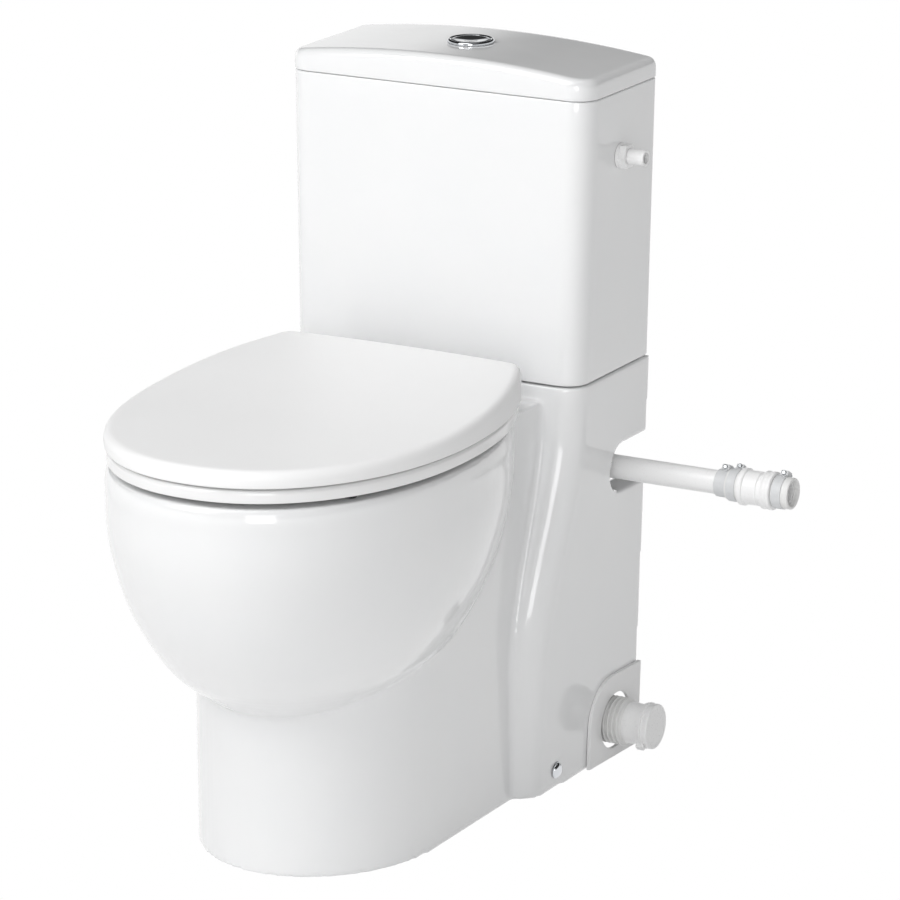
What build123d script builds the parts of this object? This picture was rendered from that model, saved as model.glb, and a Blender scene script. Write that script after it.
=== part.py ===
from build123d import *
import os
from math import cos, pi, sin

# Floor-standing toilet with the cistern on the pan and a macerator in the pan's rear column.
# Frame: +X to the right, -Y to the front, +Z up. Origin on the floor, on the centre line,
# in the plane of the wall behind. Lengths in millimetres, angles in degrees.

os.makedirs("parts", exist_ok=True)
half_turn = 180.0         # degrees
overrun = 20.0            # how far a cut runs past the faces it opens
soft_clearance = 0.3      # between curved faces of pieces that move or only touch
seal_clearance = 0.15     # round a gasket or sleeve on its seat
screw_clearance = 0.5     # round a bolt in its hole

# China pan: heights
column_height = 445.5     # seam under the cistern
rim_height = 429.0        # top of the bowl rim and of the deck behind it
# China pan: rear column
column_half_width = 175.2       # at the seam
column_foot_half_width = 161.0  # at the floor, at the wall
column_toe_half_width = 150.5   # at the floor, at the front of the column
column_depth = 168.0            # at the seam
column_foot_depth = 231.0       # at its deepest
column_floor_depth = 226.0
curve_top_height = 420.0        # where the column's front starts to sweep forward
curve_foot_height = 150.0
curve_handle_share = 1 / 3
column_corner_radius = 29.0
column_edge_radius = 3.0
column_wall = 12.0
column_top_wall = 12.0
# China pan: pedestal and deck
pedestal_half_width = 129.5
deck_half_width = 132.0
pedestal_centre_depth = 395.4   # where the rounded nose of the pedestal starts
pedestal_nose = 149.0
pedestal_wall = 13.0
deck_wall = 14.0
# China pan: bowl
bowl_half_width = 184.2
bowl_front = 244.5
bowl_rear = 282.0
bowl_centre_depth = 427.7
bowl_wall = 14.0
bowl_power = 2.12               # exponent of the rounded outline
bowl_foot_height = 155.0
# height as a share of the bowl's depth above its foot, width as a share of the rim's
bowl_level_shares = (
    (1.0, 0.988, 0), (0.975, 1.003, 0), (0.89, 1.010, 0), (0.75, 0.997, 0), (0.60, 0.959, 0),
    (0.455, 0.899, 0), (0.31, 0.802, 0), (0.18, 0.679, 0), (0.075, 0.512, 0), (0.0, 0.370, 0),
)
# China pan: inside of the bowl
well_half_width = 147.0
well_front = 178.0
well_rear = 148.0
well_centre_depth = 455.0
well_shift = 62.0               # how far the bottom of the well lies behind its mouth
well_foot_height = 128.0
well_level_shares = (
    (1.0, 1.0, 0.0), (0.95, 1.0, 0.0), (0.90, 1.07, 0.03), (0.77, 1.06, 0.10), (0.63, 1.0, 0.18),
    (0.50, 0.89, 0.27), (0.37, 0.75, 0.42), (0.25, 0.60, 0.60), (0.15, 0.46, 0.78),
    (0.07, 0.34, 0.92), (0.0, 0.22, 1.0),
)
rim_radius = 5.0
# China pan: outlet to the macerator and flush channel
outlet_height = 222.0
outlet_bore = 56.0
trap_wall = 14.0
outlet_outer = 84.0
outlet_inner_face = 178.0       # depth of the spigot's end
trap_start_depth = 385.0
trap_start_height = 127.0
trap_bend_depth = 245.0
flush_axis_depth = 85.0
flush_bore = 58.0
flush_channel_bore = 42.0
flush_channel_height = 400.0
duct_half_width = 60.0
duct_floor = 370.0
duct_rear_depth = 25.0
gasket_seat_bore = 96.0
gasket_seat_depth = 13.5
# China pan: notch for the discharge pipe, opening behind the cover plate
pipe_axis_depth = 50.0
pipe_axis_height = 331.0
notch_depth = 79.5
notch_floor = pipe_axis_height - 25.0
notch_roof = pipe_axis_height + 30.0
notch_radius = 24.0
notch_rim_wall = 10.0           # lining of the notch inside the column
notch_rim_reach = 20.0
inlet_axis_depth = 52.0
inlet_axis_height = 43.0
side_opening_depth = 86.0
side_opening_height = 78.0
side_opening_radius = 18.0

# Cistern
seam_gap = 2.0
cistern_base = column_height + seam_gap
cistern_top = 753.0
cistern_half_width = 175.2
cistern_top_half_width = 181.8
cistern_depth = 168.0
cistern_top_depth = 162.6
cistern_back_gap = 1.0
cistern_corner_radius = 26.0
cistern_back_radius = 10
cistern_wall = 9.0
cistern_floor = 12.0
cistern_edge_radius = 3.0
lid_gap = 0.8
lid_overhang = 0.5
cistern_lid_base = cistern_top + lid_gap
cistern_lid_edge = 774.5        # height of the crowned top at its sides
cistern_lid_crown = 787.0       # and on the centre line
cistern_lid_edge_radius = 6
cistern_lid_wall = 10.0
cistern_lid_rib_height = 10.0
cistern_lid_rib_gap = 3.0
cistern_lid_rib_wall = 8.0

# Dual flush button
button_depth = 84.0
button_radius = 20.2
button_gap = 0.4                # between the two halves and round them
button_split = 6.5              # the split stands to the right of the centre
button_thickness = 9.0
button_travel = 6.0
button_crown = 1.4
bezel_radius = 25.2
bezel_height = 3.6
bezel_tube_wall = 1.4
bezel_tube_length = 36.0
bezel_shoulder = 2.0

# Seat
seat_half_width = 183.7
seat_front = 247.0
seat_rear = 296.0
seat_centre_depth = 424.0
seat_back_depth = 232.0
seat_power = 2.12
ring_base = 435.5
ring_thickness = 13.0
ring_edge_radius = 4.0
ring_hole_half_width = 116.0
ring_hole_front = 168.0
ring_hole_rear = 138.0
ring_hole_depth = 446.0
seat_lid_base = 451.2
seat_corner_radius = 14.0
seat_lid_edge_radius = 6.5
seat_lid_crown = 4.0
# depth as a share of the seat's length behind its front, height of the lid's edge above its base
seat_lid_profile_shares = ((-0.10, 0.40), (0.25, 0.45), (0.52, 0.56), (0.80, 0.82), (1.0, 1.0), (1.12, 1.1))
seat_lid_rear_thickness = 34.5
seat_lid_wall = 6
seat_lid_recess_margin = 22

# Flush valve, its seals and the bolts that clamp the cistern
bezel_tube_radius = button_radius + button_gap + bezel_tube_wall
bezel_nut_radius = 29
bezel_nut_height = 8
rod_radius = 3
full_rod_offset = -8
half_rod_offset = 12.5
valve_tail_radius = 28
valve_tail_bore = 46
valve_tail_foot = 420
valve_flange_radius = 39
valve_flange_height = 4
valve_seat_height = 2
valve_seat_wall = 3
tower_radius = 33
tower_wall = 3
tower_top = 686
tower_window_height = 45
tower_window_width = 18
tower_window_count = 6
tower_guide_height = 600
overflow_radius = 15
overflow_wall = 2
overflow_top = 660
seal_radius = 27
seal_thickness = 6
valve_nut_radius = 40
valve_nut_height = 12
gasket_radius = 47
gasket_bore = 41
cistern_bolt_spacing = 150
cistern_bolt_depth = 100
cistern_bolt_radius = 4
cistern_bolt_head_radius = 8
cistern_bolt_head_height = 5
cistern_washer_radius = 13
cistern_washer_thickness = 2.5
wing_nut_radius = 10
wing_nut_height = 9
wing_length = 12
wing_thickness = 3
cistern_pad_width = 50
cistern_pad_depth = 60
cistern_pad_offset = 130

# Fill valve and its threaded tail through the right wall
inlet_tail_depth = 86
inlet_tail_height = 684
inlet_tail_radius = 8.6
inlet_tail_bore = 12
inlet_tail_length = 19.3
inlet_relief_depth = 0.8
inlet_relief_width = 1.5
inlet_relief_cover = 1
inlet_flange_radius = 15
inlet_flange_thickness = 4
inlet_washer_radius = 13.5
inlet_washer_thickness = 3.5
inlet_nut_flats = 24
inlet_nut_thickness = 7.3
fill_guide_offset = 120
fill_guide_radius = 11
fill_guide_wall = 3
fill_guide_foot = 520
fill_guide_top = 700
fill_cap_radius = 16
fill_cap_height = 14
float_radius = 31
float_foot = 560
float_height = 80
float_wall = 3
running_clearance = 0.5

# Seat hinges
hinge_depth = 216
hinge_height = 458
hinge_pin_radius = 4
hinge_fit = 0.05
hinge_pin_end = 104
hinge_barrel_radius = 10
hinge_post_offset = 77
hinge_post_width = 26
hinge_disc_radius = 20
hinge_disc_height = 5
hinge_bolt_radius = 4
hinge_bolt_length = 46
hinge_bolt_grip = 10
hinge_lug_radius = 8
hinge_lug_width = 12
ring_lug_offset = 56
lid_lug_offset = 98
lug_root = 4
hinge_washer_radius = 11
hinge_washer_thickness = 2
hinge_nut_flats = 17
hinge_nut_height = 10
seat_buffer_radius = 7
lid_buffer_radius = 5.5
buffer_angle = 38
rear_buffer_angle = -22

# Macerator casing, cover and pump
casing_half_width = 118
casing_front = 160
casing_back = 30
casing_foot = 8
casing_top = 266
casing_wall = 4
casing_corner_radius = 20
casing_foot_radius = 12
casing_foot_inset = 22
casing_spigot_length = 14
boot_wall = 4.7
boot_front = 192
boot_back = 163
cover_thickness = 10
cover_screw_radius = 2.5
cover_screw_head_radius = 5
cover_screw_head_height = 3
cover_screw_inset = 9
motor_offset = -15
motor_depth = 92
motor_radius = 52
motor_wall = 4
motor_top = 365
motor_flange_radius = 57
motor_flange_height = 4
motor_fin_count = 24
motor_fin_thickness = 1.6
motor_fin_height = 2.5
stator_radius = 45
stator_bore = 62
stator_height = 52
stator_tooth_count = 12
shaft_radius = 6
shaft_fit = 0.05
rotor_core_radius = 30
bearing_radius = 13
bearing_height = 8
bearing_boss_wall = 4
shaft_seal_radius = 11
shaft_seal_height = 10
shaft_seal_hub_wall = 5
basket_radius = 56
basket_wall = 2.5
basket_foot = 168
basket_slot_count = 24
basket_slot_width = 8
basket_slot_height = 60
blade_length = 100
blade_width = 18
blade_thickness = 3
blade_height = 196
blade_hub_radius = 11
blade_hub_height = 14
pump_foot = casing_foot + casing_wall
pump_height = 34
pump_radius = 50
pump_wall = 4
pump_eye_radius = 18
pump_outlet_radius = 13
impeller_radius = 40
impeller_plate = 3
impeller_vane_height = 14
impeller_vane_count = 6
impeller_vane_thickness = 3
impeller_hub_radius = 10
riser_offset = 90
pipe_radius = 13
pipe_wall = 2.5
socket_wall = 2.8
socket_depth = 10
elbow_bend_radius = 35
elbow_end = 150
switch_offset = 78
switch_depth = 128
switch_radius = 20
switch_height = 16
switch_cap_radius = 12
switch_cap_height = 14
gland_height = 330
gland_boss_radius = 12
gland_boss_length = 8
gland_flats = 18
gland_length = 14
gland_bore = 7

# Discharge pipe, its couplings and the non-return valve
pipe_start = 142
pipe_end = 298
sleeve_start = 283.5
sleeve_step = 297.5
sleeve_end = 312.8
sleeve_cuff_radius = 14
sleeve_radius = 16.85
valve_start = 299
valve_collar_start = 313
valve_collar_end = 319
valve_collar_radius = 20.25
valve_body_radius = 18.5
valve_groove_start = 335
valve_groove_end = 339.5
valve_groove_radius = 17.2
valve_rear_collar_end = 351.5
valve_rear_collar_radius = 20.65
valve_spigot_radius = 14.5
valve_spigot_end = 366
valve_spigot_bore = 24
valve_seat_face = 317
valve_seat_bore = 20
valve_chamber_radius = 16
valve_chamber_end = 345
flap_radius = 12
flap_thickness = 2
flap_pin_radius = 1.2
flap_pin_fit = 0.05
flap_pin_rise = 13
flap_eye_radius = 2.4
flap_pin_half_length = 10.3
flap_lug_width = 6
outlet_sleeve_radius = 17
outlet_sleeve_start = 352
outlet_sleeve_end = 372
outlet_sleeve_bore = 27.5
clip_band = 0.9
clip_housing_length = 12
clip_housing_width = 9
clip_housing_height = 6
clip_screw_radius = 2.6
clip_screw_length = 15
clip_head_radius = 3.4
clip_head_length = 3
clip_starts = (284.5, 300, 353)
clip_widths = (13, 10, 11)
clip_angles = (25, 40, 30)

# Low inlet on the right: bellows, spigot and its blanking cap
bellows_start = 118.3
bellows_first_rib = 123
bellows_end = 182
bellows_pitch = 5.3
bellows_rib_count = 11
bellows_bore = 36.6
bellows_root_radius = 21.8
bellows_crest_radius = 26.3
bellows_crest_share = 0.34
side_spigot_radius = 18
side_spigot_bore = 30
side_spigot_length = 12
inlet_fitting_radius = 23
inlet_fitting_taper = 22
inlet_fitting_neck_end = 200
inlet_collar_end = 209
inlet_collar_radius = 25.6
inlet_collar_step = 3
inlet_tail_insert = 8
inlet_lug_width = 8
inlet_lug_height = 6
cap_disc_radius = 25
cap_disc_end = 214
cap_plug_length = 16
cap_plug_wall = 3
plate_gap = 0.6
plate_thickness = 4
plate_depth = 107
plate_height = 97
plate_corner_radius = 48
plate_hole_radius = 32
plate_screw_radius = 2
plate_screw_head_radius = 3.6
plate_screw_head_height = 2
plate_screw_depths = (16, 54)
plate_screw_height = 87
plate_screw_bite = 2.4
plate_peg_radius = 1
plate_peg_depth = 3

# Floor brackets inside the column
bracket_depth = 172
bracket_width = 30
bracket_height = 42
bracket_foot = 30
bracket_thickness = 4
bracket_gap = 0.3
bracket_screw_height = 21
bracket_screw_radius = 3
bracket_screw_length = 20
bracket_screw_head_radius = 6
bracket_screw_head_height = 2.5
floor_screw_radius = 3.5
screw_cap_radius = 9.25
screw_cap_height = 5
screw_cap_wall = 1.2
def rounded_outline(half_width, front, rear, power, centre_y, steps=10):
    """Points of an egg outline, from the right side round the front to the left and back."""
    points = []
    for step in range(2 * steps):
        angle = pi * step / (2 * steps)
        side = cos(angle)
        across = abs(side) ** (2 / power) * half_width * (1 if side > 0 else -1)
        points.append((across, centre_y - front * sin(angle) ** (2 / power)))
    for step in range(steps):
        angle = pi + pi * step / steps
        points.append((half_width * cos(angle), centre_y - rear * sin(angle)))
    return points


def seat_outline(half_width, front, rear, centre_y, back_y, steps=10):
    """Points of a seat outline, from the right end of its flat back round the front to the left end."""
    rise = (back_y - centre_y) / rear
    rear_points = []
    for step in range(3):
        share = 1 - step / 3
        height = rise * share
        rear_points.append((half_width * (1 - height**2) ** 0.5, centre_y + rear * height))
    front_points = []
    for step in range(2 * steps + 1):
        angle = pi * step / (2 * steps)
        side = cos(angle)
        across = abs(side) ** (2 / seat_power) * half_width * (1 if side > 0 else -1)
        front_points.append((across, centre_y - front * abs(sin(angle)) ** (2 / seat_power)))
    left_points = [(-x, y) for x, y in reversed(rear_points)]
    return rear_points + front_points + left_points


def column_section(grow, at_floor):
    """Plan of the column at the floor or at the seam, its sides moved out by grow."""
    rear = (column_foot_half_width if at_floor else column_half_width) + grow
    toe = (column_toe_half_width if at_floor else column_half_width) + grow
    slope = (toe - rear) / column_foot_depth
    front_y = -column_foot_depth - overrun
    back_y = overrun
    front = toe + slope * overrun
    back = rear - slope * overrun
    return [(front, front_y), (back, back_y), (-back, back_y), (-front, front_y)]


def column_side(depth, height):
    """Half width of the column at a depth from the wall and a height above the floor."""
    narrowing = column_foot_half_width - column_toe_half_width
    foot = column_foot_half_width - narrowing * depth / column_foot_depth
    return foot + (column_half_width - foot) * height / column_height


def column_form(grow):
    """Tapered block with the plan of the column, its sides moved out by grow."""
    with BuildPart() as form:
        with BuildSketch(Plane.XY):
            Polygon(*column_section(grow, True), align=None)
        with BuildSketch(Plane.XY.offset(column_height)):
            Polygon(*column_section(grow, False), align=None)
        loft()
    return form.part


def box_plan(height, half_width, front, back, front_radius, back_radius):
    """Flat outline at a height: a rectangle with rounded front and rear corners."""
    with BuildSketch(Plane.XY.offset(height)) as plan:
        with Locations((0, (front + back) / 2)):
            Rectangle(2 * half_width, abs(front - back))
        fillet(plan.vertices().group_by(Axis.Y)[0], front_radius)
        fillet(plan.vertices().group_by(Axis.Y)[-1], back_radius)
    return plan.sketch
deck_underside = rim_height - deck_wall

# Plane of the inner face of the side cover plate, beside the column's tapered wall
plate_rear = Vector(column_side(0, 0) + plate_gap, 0, 0)
plate_middle = plate_height / 2
plate_front = Vector(column_side(plate_depth, plate_middle) + plate_gap, -plate_depth, plate_middle)
plate_top = Vector(column_side(0, plate_height) + plate_gap, 0, plate_height)
plate_normal = (plate_rear - plate_front).cross(plate_top - plate_rear)
plate_plane = Plane(origin=plate_rear, x_dir=Axis.Z.direction.cross(plate_normal), z_dir=plate_normal)
plate_screw_places = [(-depth, plate_screw_height) for depth in plate_screw_depths]


# Forms that the casting and its hollows are made from
def egg_form(level_shares, foot, size, centre_depth, shift, grow):
    """Loft of egg outlines from the foot to the rim, moved out all round by grow."""
    half_width, front, rear = size
    with BuildPart() as form:
        for level, width, back in level_shares:
            low = foot - max(grow, 0) if level == 0 else foot + level * (rim_height - foot)
            with BuildSketch(Plane.XY.offset(low)):
                with BuildLine():
                    Spline(*rounded_outline(width * half_width + grow, width * front + grow,
                                            width * rear + grow, bowl_power,
                                            back * shift - centre_depth), periodic=True)
                make_face()
        loft()
    return form.part


def trap_form(radius):
    """Bent tube that climbs from the well to the outlet spigot."""
    with BuildPart() as form:
        with BuildLine() as trap_line:
            FilletPolyline((0, -trap_start_depth, trap_start_height), (0, -trap_bend_depth, outlet_height),
                           (0, -outlet_inner_face + overrun, outlet_height), radius=outlet_bore)
        with BuildSketch(trap_line.line ^ 0):
            Circle(radius)
        sweep(path=trap_line.line)
    return form.part


bowl_size = (bowl_half_width, bowl_front, bowl_rear)
well_size = (well_half_width, well_front, well_rear)
bowl_block = egg_form(bowl_level_shares, bowl_foot_height, bowl_size, bowl_centre_depth, 0, 0)
well = egg_form(well_level_shares, well_foot_height, well_size, well_centre_depth, well_shift, 0)
well_shell = egg_form(well_level_shares, well_foot_height, well_size, well_centre_depth, well_shift,
                      bowl_wall)
trap = trap_form(outlet_bore / 2)
trap_shell = trap_form(outlet_bore / 2 + trap_wall)

# Rear column, pedestal and bowl in one casting
with BuildPart() as pan:
    with BuildSketch(Plane.YZ):
        with BuildLine():
            handle = (curve_top_height - curve_foot_height) * curve_handle_share
            Polyline((-column_floor_depth, 0), (0, 0), (0, column_height), (-column_depth, column_height),
                     (-column_depth, curve_top_height))
            Bezier((-column_depth, curve_top_height), (-column_depth, curve_top_height - handle),
                   (-column_foot_depth, curve_foot_height + handle), (-column_foot_depth, curve_foot_height))
            Line((-column_foot_depth, curve_foot_height), (-column_floor_depth, 0))
        make_face()
    extrude(amount=column_half_width + overrun, both=True)
    add(column_form(0), mode=Mode.INTERSECT)
    front_corners = [
        edge for edge in pan.edges()
        if abs(edge.center().X) > column_toe_half_width - overrun
        and edge.center().Y < -column_depth + column_edge_radius
        and edge.bounding_box().size.X < column_corner_radius
    ]
    fillet(front_corners, column_corner_radius)
    # hollow of the column, open to the wall behind
    with BuildSketch(Plane.YZ):
        with BuildLine():
            ceiling = column_height - column_top_wall
            Polyline((-column_floor_depth + column_wall, -overrun), (overrun, -overrun), (overrun, ceiling),
                     (-column_depth + column_wall, ceiling), (-column_depth + column_wall, curve_top_height))
            Bezier((-column_depth + column_wall, curve_top_height),
                   (-column_depth + column_wall, curve_top_height - handle),
                   (-column_foot_depth + column_wall, curve_foot_height + handle),
                   (-column_foot_depth + column_wall, curve_foot_height))
            Polyline((-column_foot_depth + column_wall, curve_foot_height),
                     (-column_floor_depth + column_wall, 0), (-column_floor_depth + column_wall, -overrun))
        make_face()
    column_hollow = extrude(amount=column_half_width, both=True, mode=Mode.PRIVATE)
    add(column_hollow & column_form(-column_wall), mode=Mode.SUBTRACT)
    # pedestal, its side walls run up to the deck behind the bowl
    for height, half_width in ((0, pedestal_half_width), (rim_height, deck_half_width)):
        with BuildSketch(Plane.XY.offset(height)):
            with BuildLine():
                EllipticalCenterArc((0, -pedestal_centre_depth), half_width, pedestal_nose,
                                    start_angle=half_turn, arc_size=half_turn)
                back_y = -column_depth + column_wall / 2
                Polyline((half_width, -pedestal_centre_depth), (half_width, back_y),
                         (-half_width, back_y), (-half_width, -pedestal_centre_depth))
            make_face()
    pedestal_block = loft(mode=Mode.PRIVATE)
    add(pedestal_block - column_hollow)
    # outside of the bowl
    add(bowl_block - column_hollow)
    # flush duct under the seam and the spigot of the outlet, both inside the column
    with BuildSketch(Plane.XY.offset(duct_floor)):
        with Locations((0, -duct_rear_depth)):
            Rectangle(2 * duct_half_width, column_depth - column_wall / 2 - duct_rear_depth,
                      align=(Align.CENTER, Align.MAX))
    extrude(amount=column_height - column_top_wall / 2 - duct_floor)
    with BuildSketch(Plane.XZ.offset(outlet_inner_face)):
        with Locations((0, outlet_height)):
            Circle(outlet_outer / 2)
    extrude(amount=column_foot_depth - outlet_inner_face)
    # flush channel: down from the cistern, then forward through the duct into the rim of the bowl
    with BuildSketch(Plane.XY.offset(flush_channel_height)):
        with Locations((0, -flush_axis_depth)):
            Circle(flush_bore / 2)
    extrude(amount=column_height, mode=Mode.SUBTRACT)
    with BuildSketch(Plane.XY.offset(column_height - gasket_seat_depth)):
        with Locations((0, -flush_axis_depth)):
            Circle(gasket_seat_bore / 2)
    extrude(amount=column_height, mode=Mode.SUBTRACT)
    with BuildSketch(Plane.XZ.offset(flush_axis_depth - flush_bore / 4)):
        with Locations((0, flush_channel_height)):
            Circle(flush_channel_bore / 2)
    extrude(amount=well_centre_depth - well_rear - flush_axis_depth + 2 * flush_channel_bore,
            mode=Mode.SUBTRACT)
    # hollow between the outer skin and the well, open to the floor and to the column
    with BuildSketch(Plane.XY):
        with BuildLine():
            inner = pedestal_half_width - pedestal_wall
            EllipticalCenterArc((0, -pedestal_centre_depth), inner, pedestal_nose - pedestal_wall,
                                start_angle=half_turn, arc_size=half_turn)
            Polyline((inner, -pedestal_centre_depth), (inner, -column_depth), (-inner, -column_depth),
                     (-inner, -pedestal_centre_depth))
        make_face()
    pedestal_core = extrude(amount=rim_height - deck_wall, mode=Mode.PRIVATE)
    with BuildSketch(Plane.XZ):
        with Locations((0, flush_channel_height)):
            Circle(flush_channel_bore / 2 + trap_wall)
    channel_shell = extrude(amount=well_centre_depth, mode=Mode.PRIVATE)
    add(pedestal_core - well_shell - trap_shell - channel_shell, mode=Mode.SUBTRACT)
    add(well, mode=Mode.SUBTRACT)
    add(trap, mode=Mode.SUBTRACT)
    # rim round the notch inside the column, the notch, and the opening behind the side cover plate
    rim_x = column_side(notch_depth, notch_floor) - column_wall - notch_rim_reach
    with BuildSketch(Plane.YZ.offset(rim_x)):
        with BuildLine():
            rim_front = notch_depth + notch_rim_wall
            rim_foot = notch_floor - notch_rim_wall
            rim_top = notch_roof + notch_rim_wall
            Polyline((0, rim_foot), (-rim_front, rim_foot), (-rim_front, rim_top), (0, rim_top), close=True)
        make_face()
        fillet(vertices().group_by(Axis.X)[0], notch_radius + notch_rim_wall)
    extrude(amount=notch_rim_reach + column_wall / 2)
    side_cut_plane = Plane.YZ.offset(column_toe_half_width - column_wall - overrun)
    with BuildSketch(side_cut_plane):
        with BuildLine():
            Polyline((overrun, notch_floor), (-notch_depth, notch_floor), (-notch_depth, notch_roof),
                     (overrun, notch_roof), close=True)
        make_face()
        fillet(vertices().group_by(Axis.X)[0], notch_radius)
    extrude(amount=column_half_width, mode=Mode.SUBTRACT)
    with BuildSketch(side_cut_plane):
        with BuildLine():
            Polyline((overrun, -overrun), (-side_opening_depth, -overrun),
                     (-side_opening_depth, side_opening_height), (overrun, side_opening_height), close=True)
        make_face()
        fillet(vertices().group_by(Axis.X)[0].sort_by(Axis.Y)[-1:], side_opening_radius)
    extrude(amount=column_half_width, mode=Mode.SUBTRACT)
    # bolt holes of the hinges and the cistern, and screw holes of the cover plate and the floor brackets
    with BuildSketch(Plane.XY.offset(deck_underside)):
        with Locations((-hinge_post_offset, -hinge_depth), (hinge_post_offset, -hinge_depth)):
            Circle(hinge_bolt_radius + screw_clearance)
    extrude(amount=deck_wall, mode=Mode.SUBTRACT)
    with BuildSketch(Plane.XY.offset(column_height - column_top_wall)):
        with Locations((-cistern_bolt_spacing / 2, -cistern_bolt_depth),
                       (cistern_bolt_spacing / 2, -cistern_bolt_depth)):
            Circle(cistern_bolt_radius + screw_clearance)
    extrude(amount=column_top_wall, mode=Mode.SUBTRACT)
    with BuildSketch(plate_plane.offset(-overrun)):
        with Locations(*plate_screw_places):
            Circle(plate_screw_radius + screw_clearance)
    extrude(amount=overrun + plate_thickness, mode=Mode.SUBTRACT)
    with BuildSketch(Plane.YZ):
        with Locations((-bracket_depth, bracket_screw_height)):
            Circle(bracket_screw_radius + screw_clearance)
    extrude(amount=column_half_width, both=True, mode=Mode.SUBTRACT)
    rim_edges = [
        edge for edge in pan.edges()
        if edge.bounding_box().min.Z > rim_height - rim_radius
        and edge.bounding_box().max.Z < rim_height + rim_radius
        and edge.bounding_box().min.Y < -bowl_centre_depth
    ]
    fillet(rim_edges, rim_radius)


# Cistern: an open china box that widens upward
cistern_back_y = -cistern_back_gap
cistern_inner_back_y = cistern_back_y - cistern_wall
cistern_inner_radius = cistern_corner_radius - cistern_wall
cistern_floor_top = cistern_base + cistern_floor
cistern_spread = (cistern_top_half_width - cistern_half_width) / (cistern_top - cistern_base)
cistern_rise = (cistern_depth - cistern_top_depth) / (cistern_top - cistern_base)
with BuildPart() as cistern:
    loft(sections=[
        box_plan(cistern_base, cistern_half_width, -cistern_depth, cistern_back_y, cistern_corner_radius,
                 cistern_back_radius),
        box_plan(cistern_top, cistern_top_half_width, -cistern_top_depth, cistern_back_y,
                 cistern_corner_radius, cistern_back_radius),
    ], ruled=True)
    loft(sections=[
        box_plan(cistern_floor_top, cistern_half_width + cistern_spread * cistern_floor - cistern_wall,
                 cistern_wall + cistern_rise * cistern_floor - cistern_depth, cistern_inner_back_y,
                 cistern_inner_radius, cistern_back_radius),
        box_plan(cistern_top, cistern_top_half_width - cistern_wall, cistern_wall - cistern_top_depth,
                 cistern_inner_back_y, cistern_inner_radius, cistern_back_radius),
    ], ruled=True, mode=Mode.SUBTRACT)
    fillet(cistern.faces().sort_by(Axis.Z)[0].outer_wire().edges(), cistern_edge_radius)
    with BuildSketch(Plane.XY.offset(cistern_base)):
        with Locations((0, -flush_axis_depth)):
            Circle(valve_tail_radius + screw_clearance)
        with Locations((-cistern_bolt_spacing / 2, -cistern_bolt_depth),
                       (cistern_bolt_spacing / 2, -cistern_bolt_depth)):
            Circle(cistern_bolt_radius + screw_clearance)
    extrude(amount=cistern_floor, mode=Mode.SUBTRACT)
    with BuildSketch(Plane.YZ.offset(cistern_half_width - cistern_wall - overrun)):
        with Locations((-inlet_tail_depth, inlet_tail_height)):
            Circle(inlet_tail_radius + screw_clearance)
    extrude(amount=cistern_wall + 2 * overrun, mode=Mode.SUBTRACT)

# Cistern lid: crowned across, hollow underneath, with a rib that keeps it on the cistern
lid_half_width = cistern_top_half_width + lid_overhang
lid_front_y = -cistern_top_depth - lid_overhang
lid_ceiling = cistern_lid_edge - cistern_lid_wall
lid_sag = cistern_lid_crown - cistern_lid_edge
lid_crown_radius = (lid_half_width**2 + lid_sag**2) / (2 * lid_sag)
rib_half_width = cistern_top_half_width - cistern_wall - cistern_lid_rib_gap
rib_front_y = cistern_wall + cistern_lid_rib_gap - cistern_top_depth
rib_back_y = cistern_inner_back_y - cistern_lid_rib_gap
with BuildPart() as cistern_lid:
    add(box_plan(cistern_lid_base, lid_half_width, lid_front_y, cistern_back_y, cistern_corner_radius,
                 cistern_back_radius))
    extrude(amount=cistern_lid_crown - cistern_lid_base + overrun)
    with BuildSketch(Plane.XZ):
        with Locations((0, cistern_lid_crown - lid_crown_radius)):
            Circle(lid_crown_radius)
    extrude(amount=cistern_top_depth + overrun, mode=Mode.INTERSECT)
    fillet(cistern_lid.faces().sort_by(Axis.Z)[-1].edges(), cistern_lid_edge_radius)
    add(box_plan(cistern_lid_base, rib_half_width - cistern_lid_rib_wall, rib_front_y + cistern_lid_rib_wall,
                 rib_back_y - cistern_lid_rib_wall, cistern_inner_radius, cistern_back_radius))
    extrude(amount=lid_ceiling - cistern_lid_base, mode=Mode.SUBTRACT)
    add(box_plan(cistern_lid_base - cistern_lid_rib_height, rib_half_width, rib_front_y, rib_back_y,
                 cistern_inner_radius, cistern_back_radius))
    extrude(amount=cistern_lid_rib_height)
    add(box_plan(cistern_lid_base - cistern_lid_rib_height, rib_half_width - cistern_lid_rib_wall,
                 rib_front_y + cistern_lid_rib_wall, rib_back_y - cistern_lid_rib_wall, cistern_inner_radius,
                 cistern_back_radius))
    extrude(amount=cistern_lid_rib_height, mode=Mode.SUBTRACT)
    with BuildSketch(Plane.XY.offset(cistern_lid_base)):
        with Locations((0, -button_depth)):
            Circle(bezel_tube_radius + soft_clearance)
    extrude(amount=cistern_lid_crown, mode=Mode.SUBTRACT)

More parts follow.
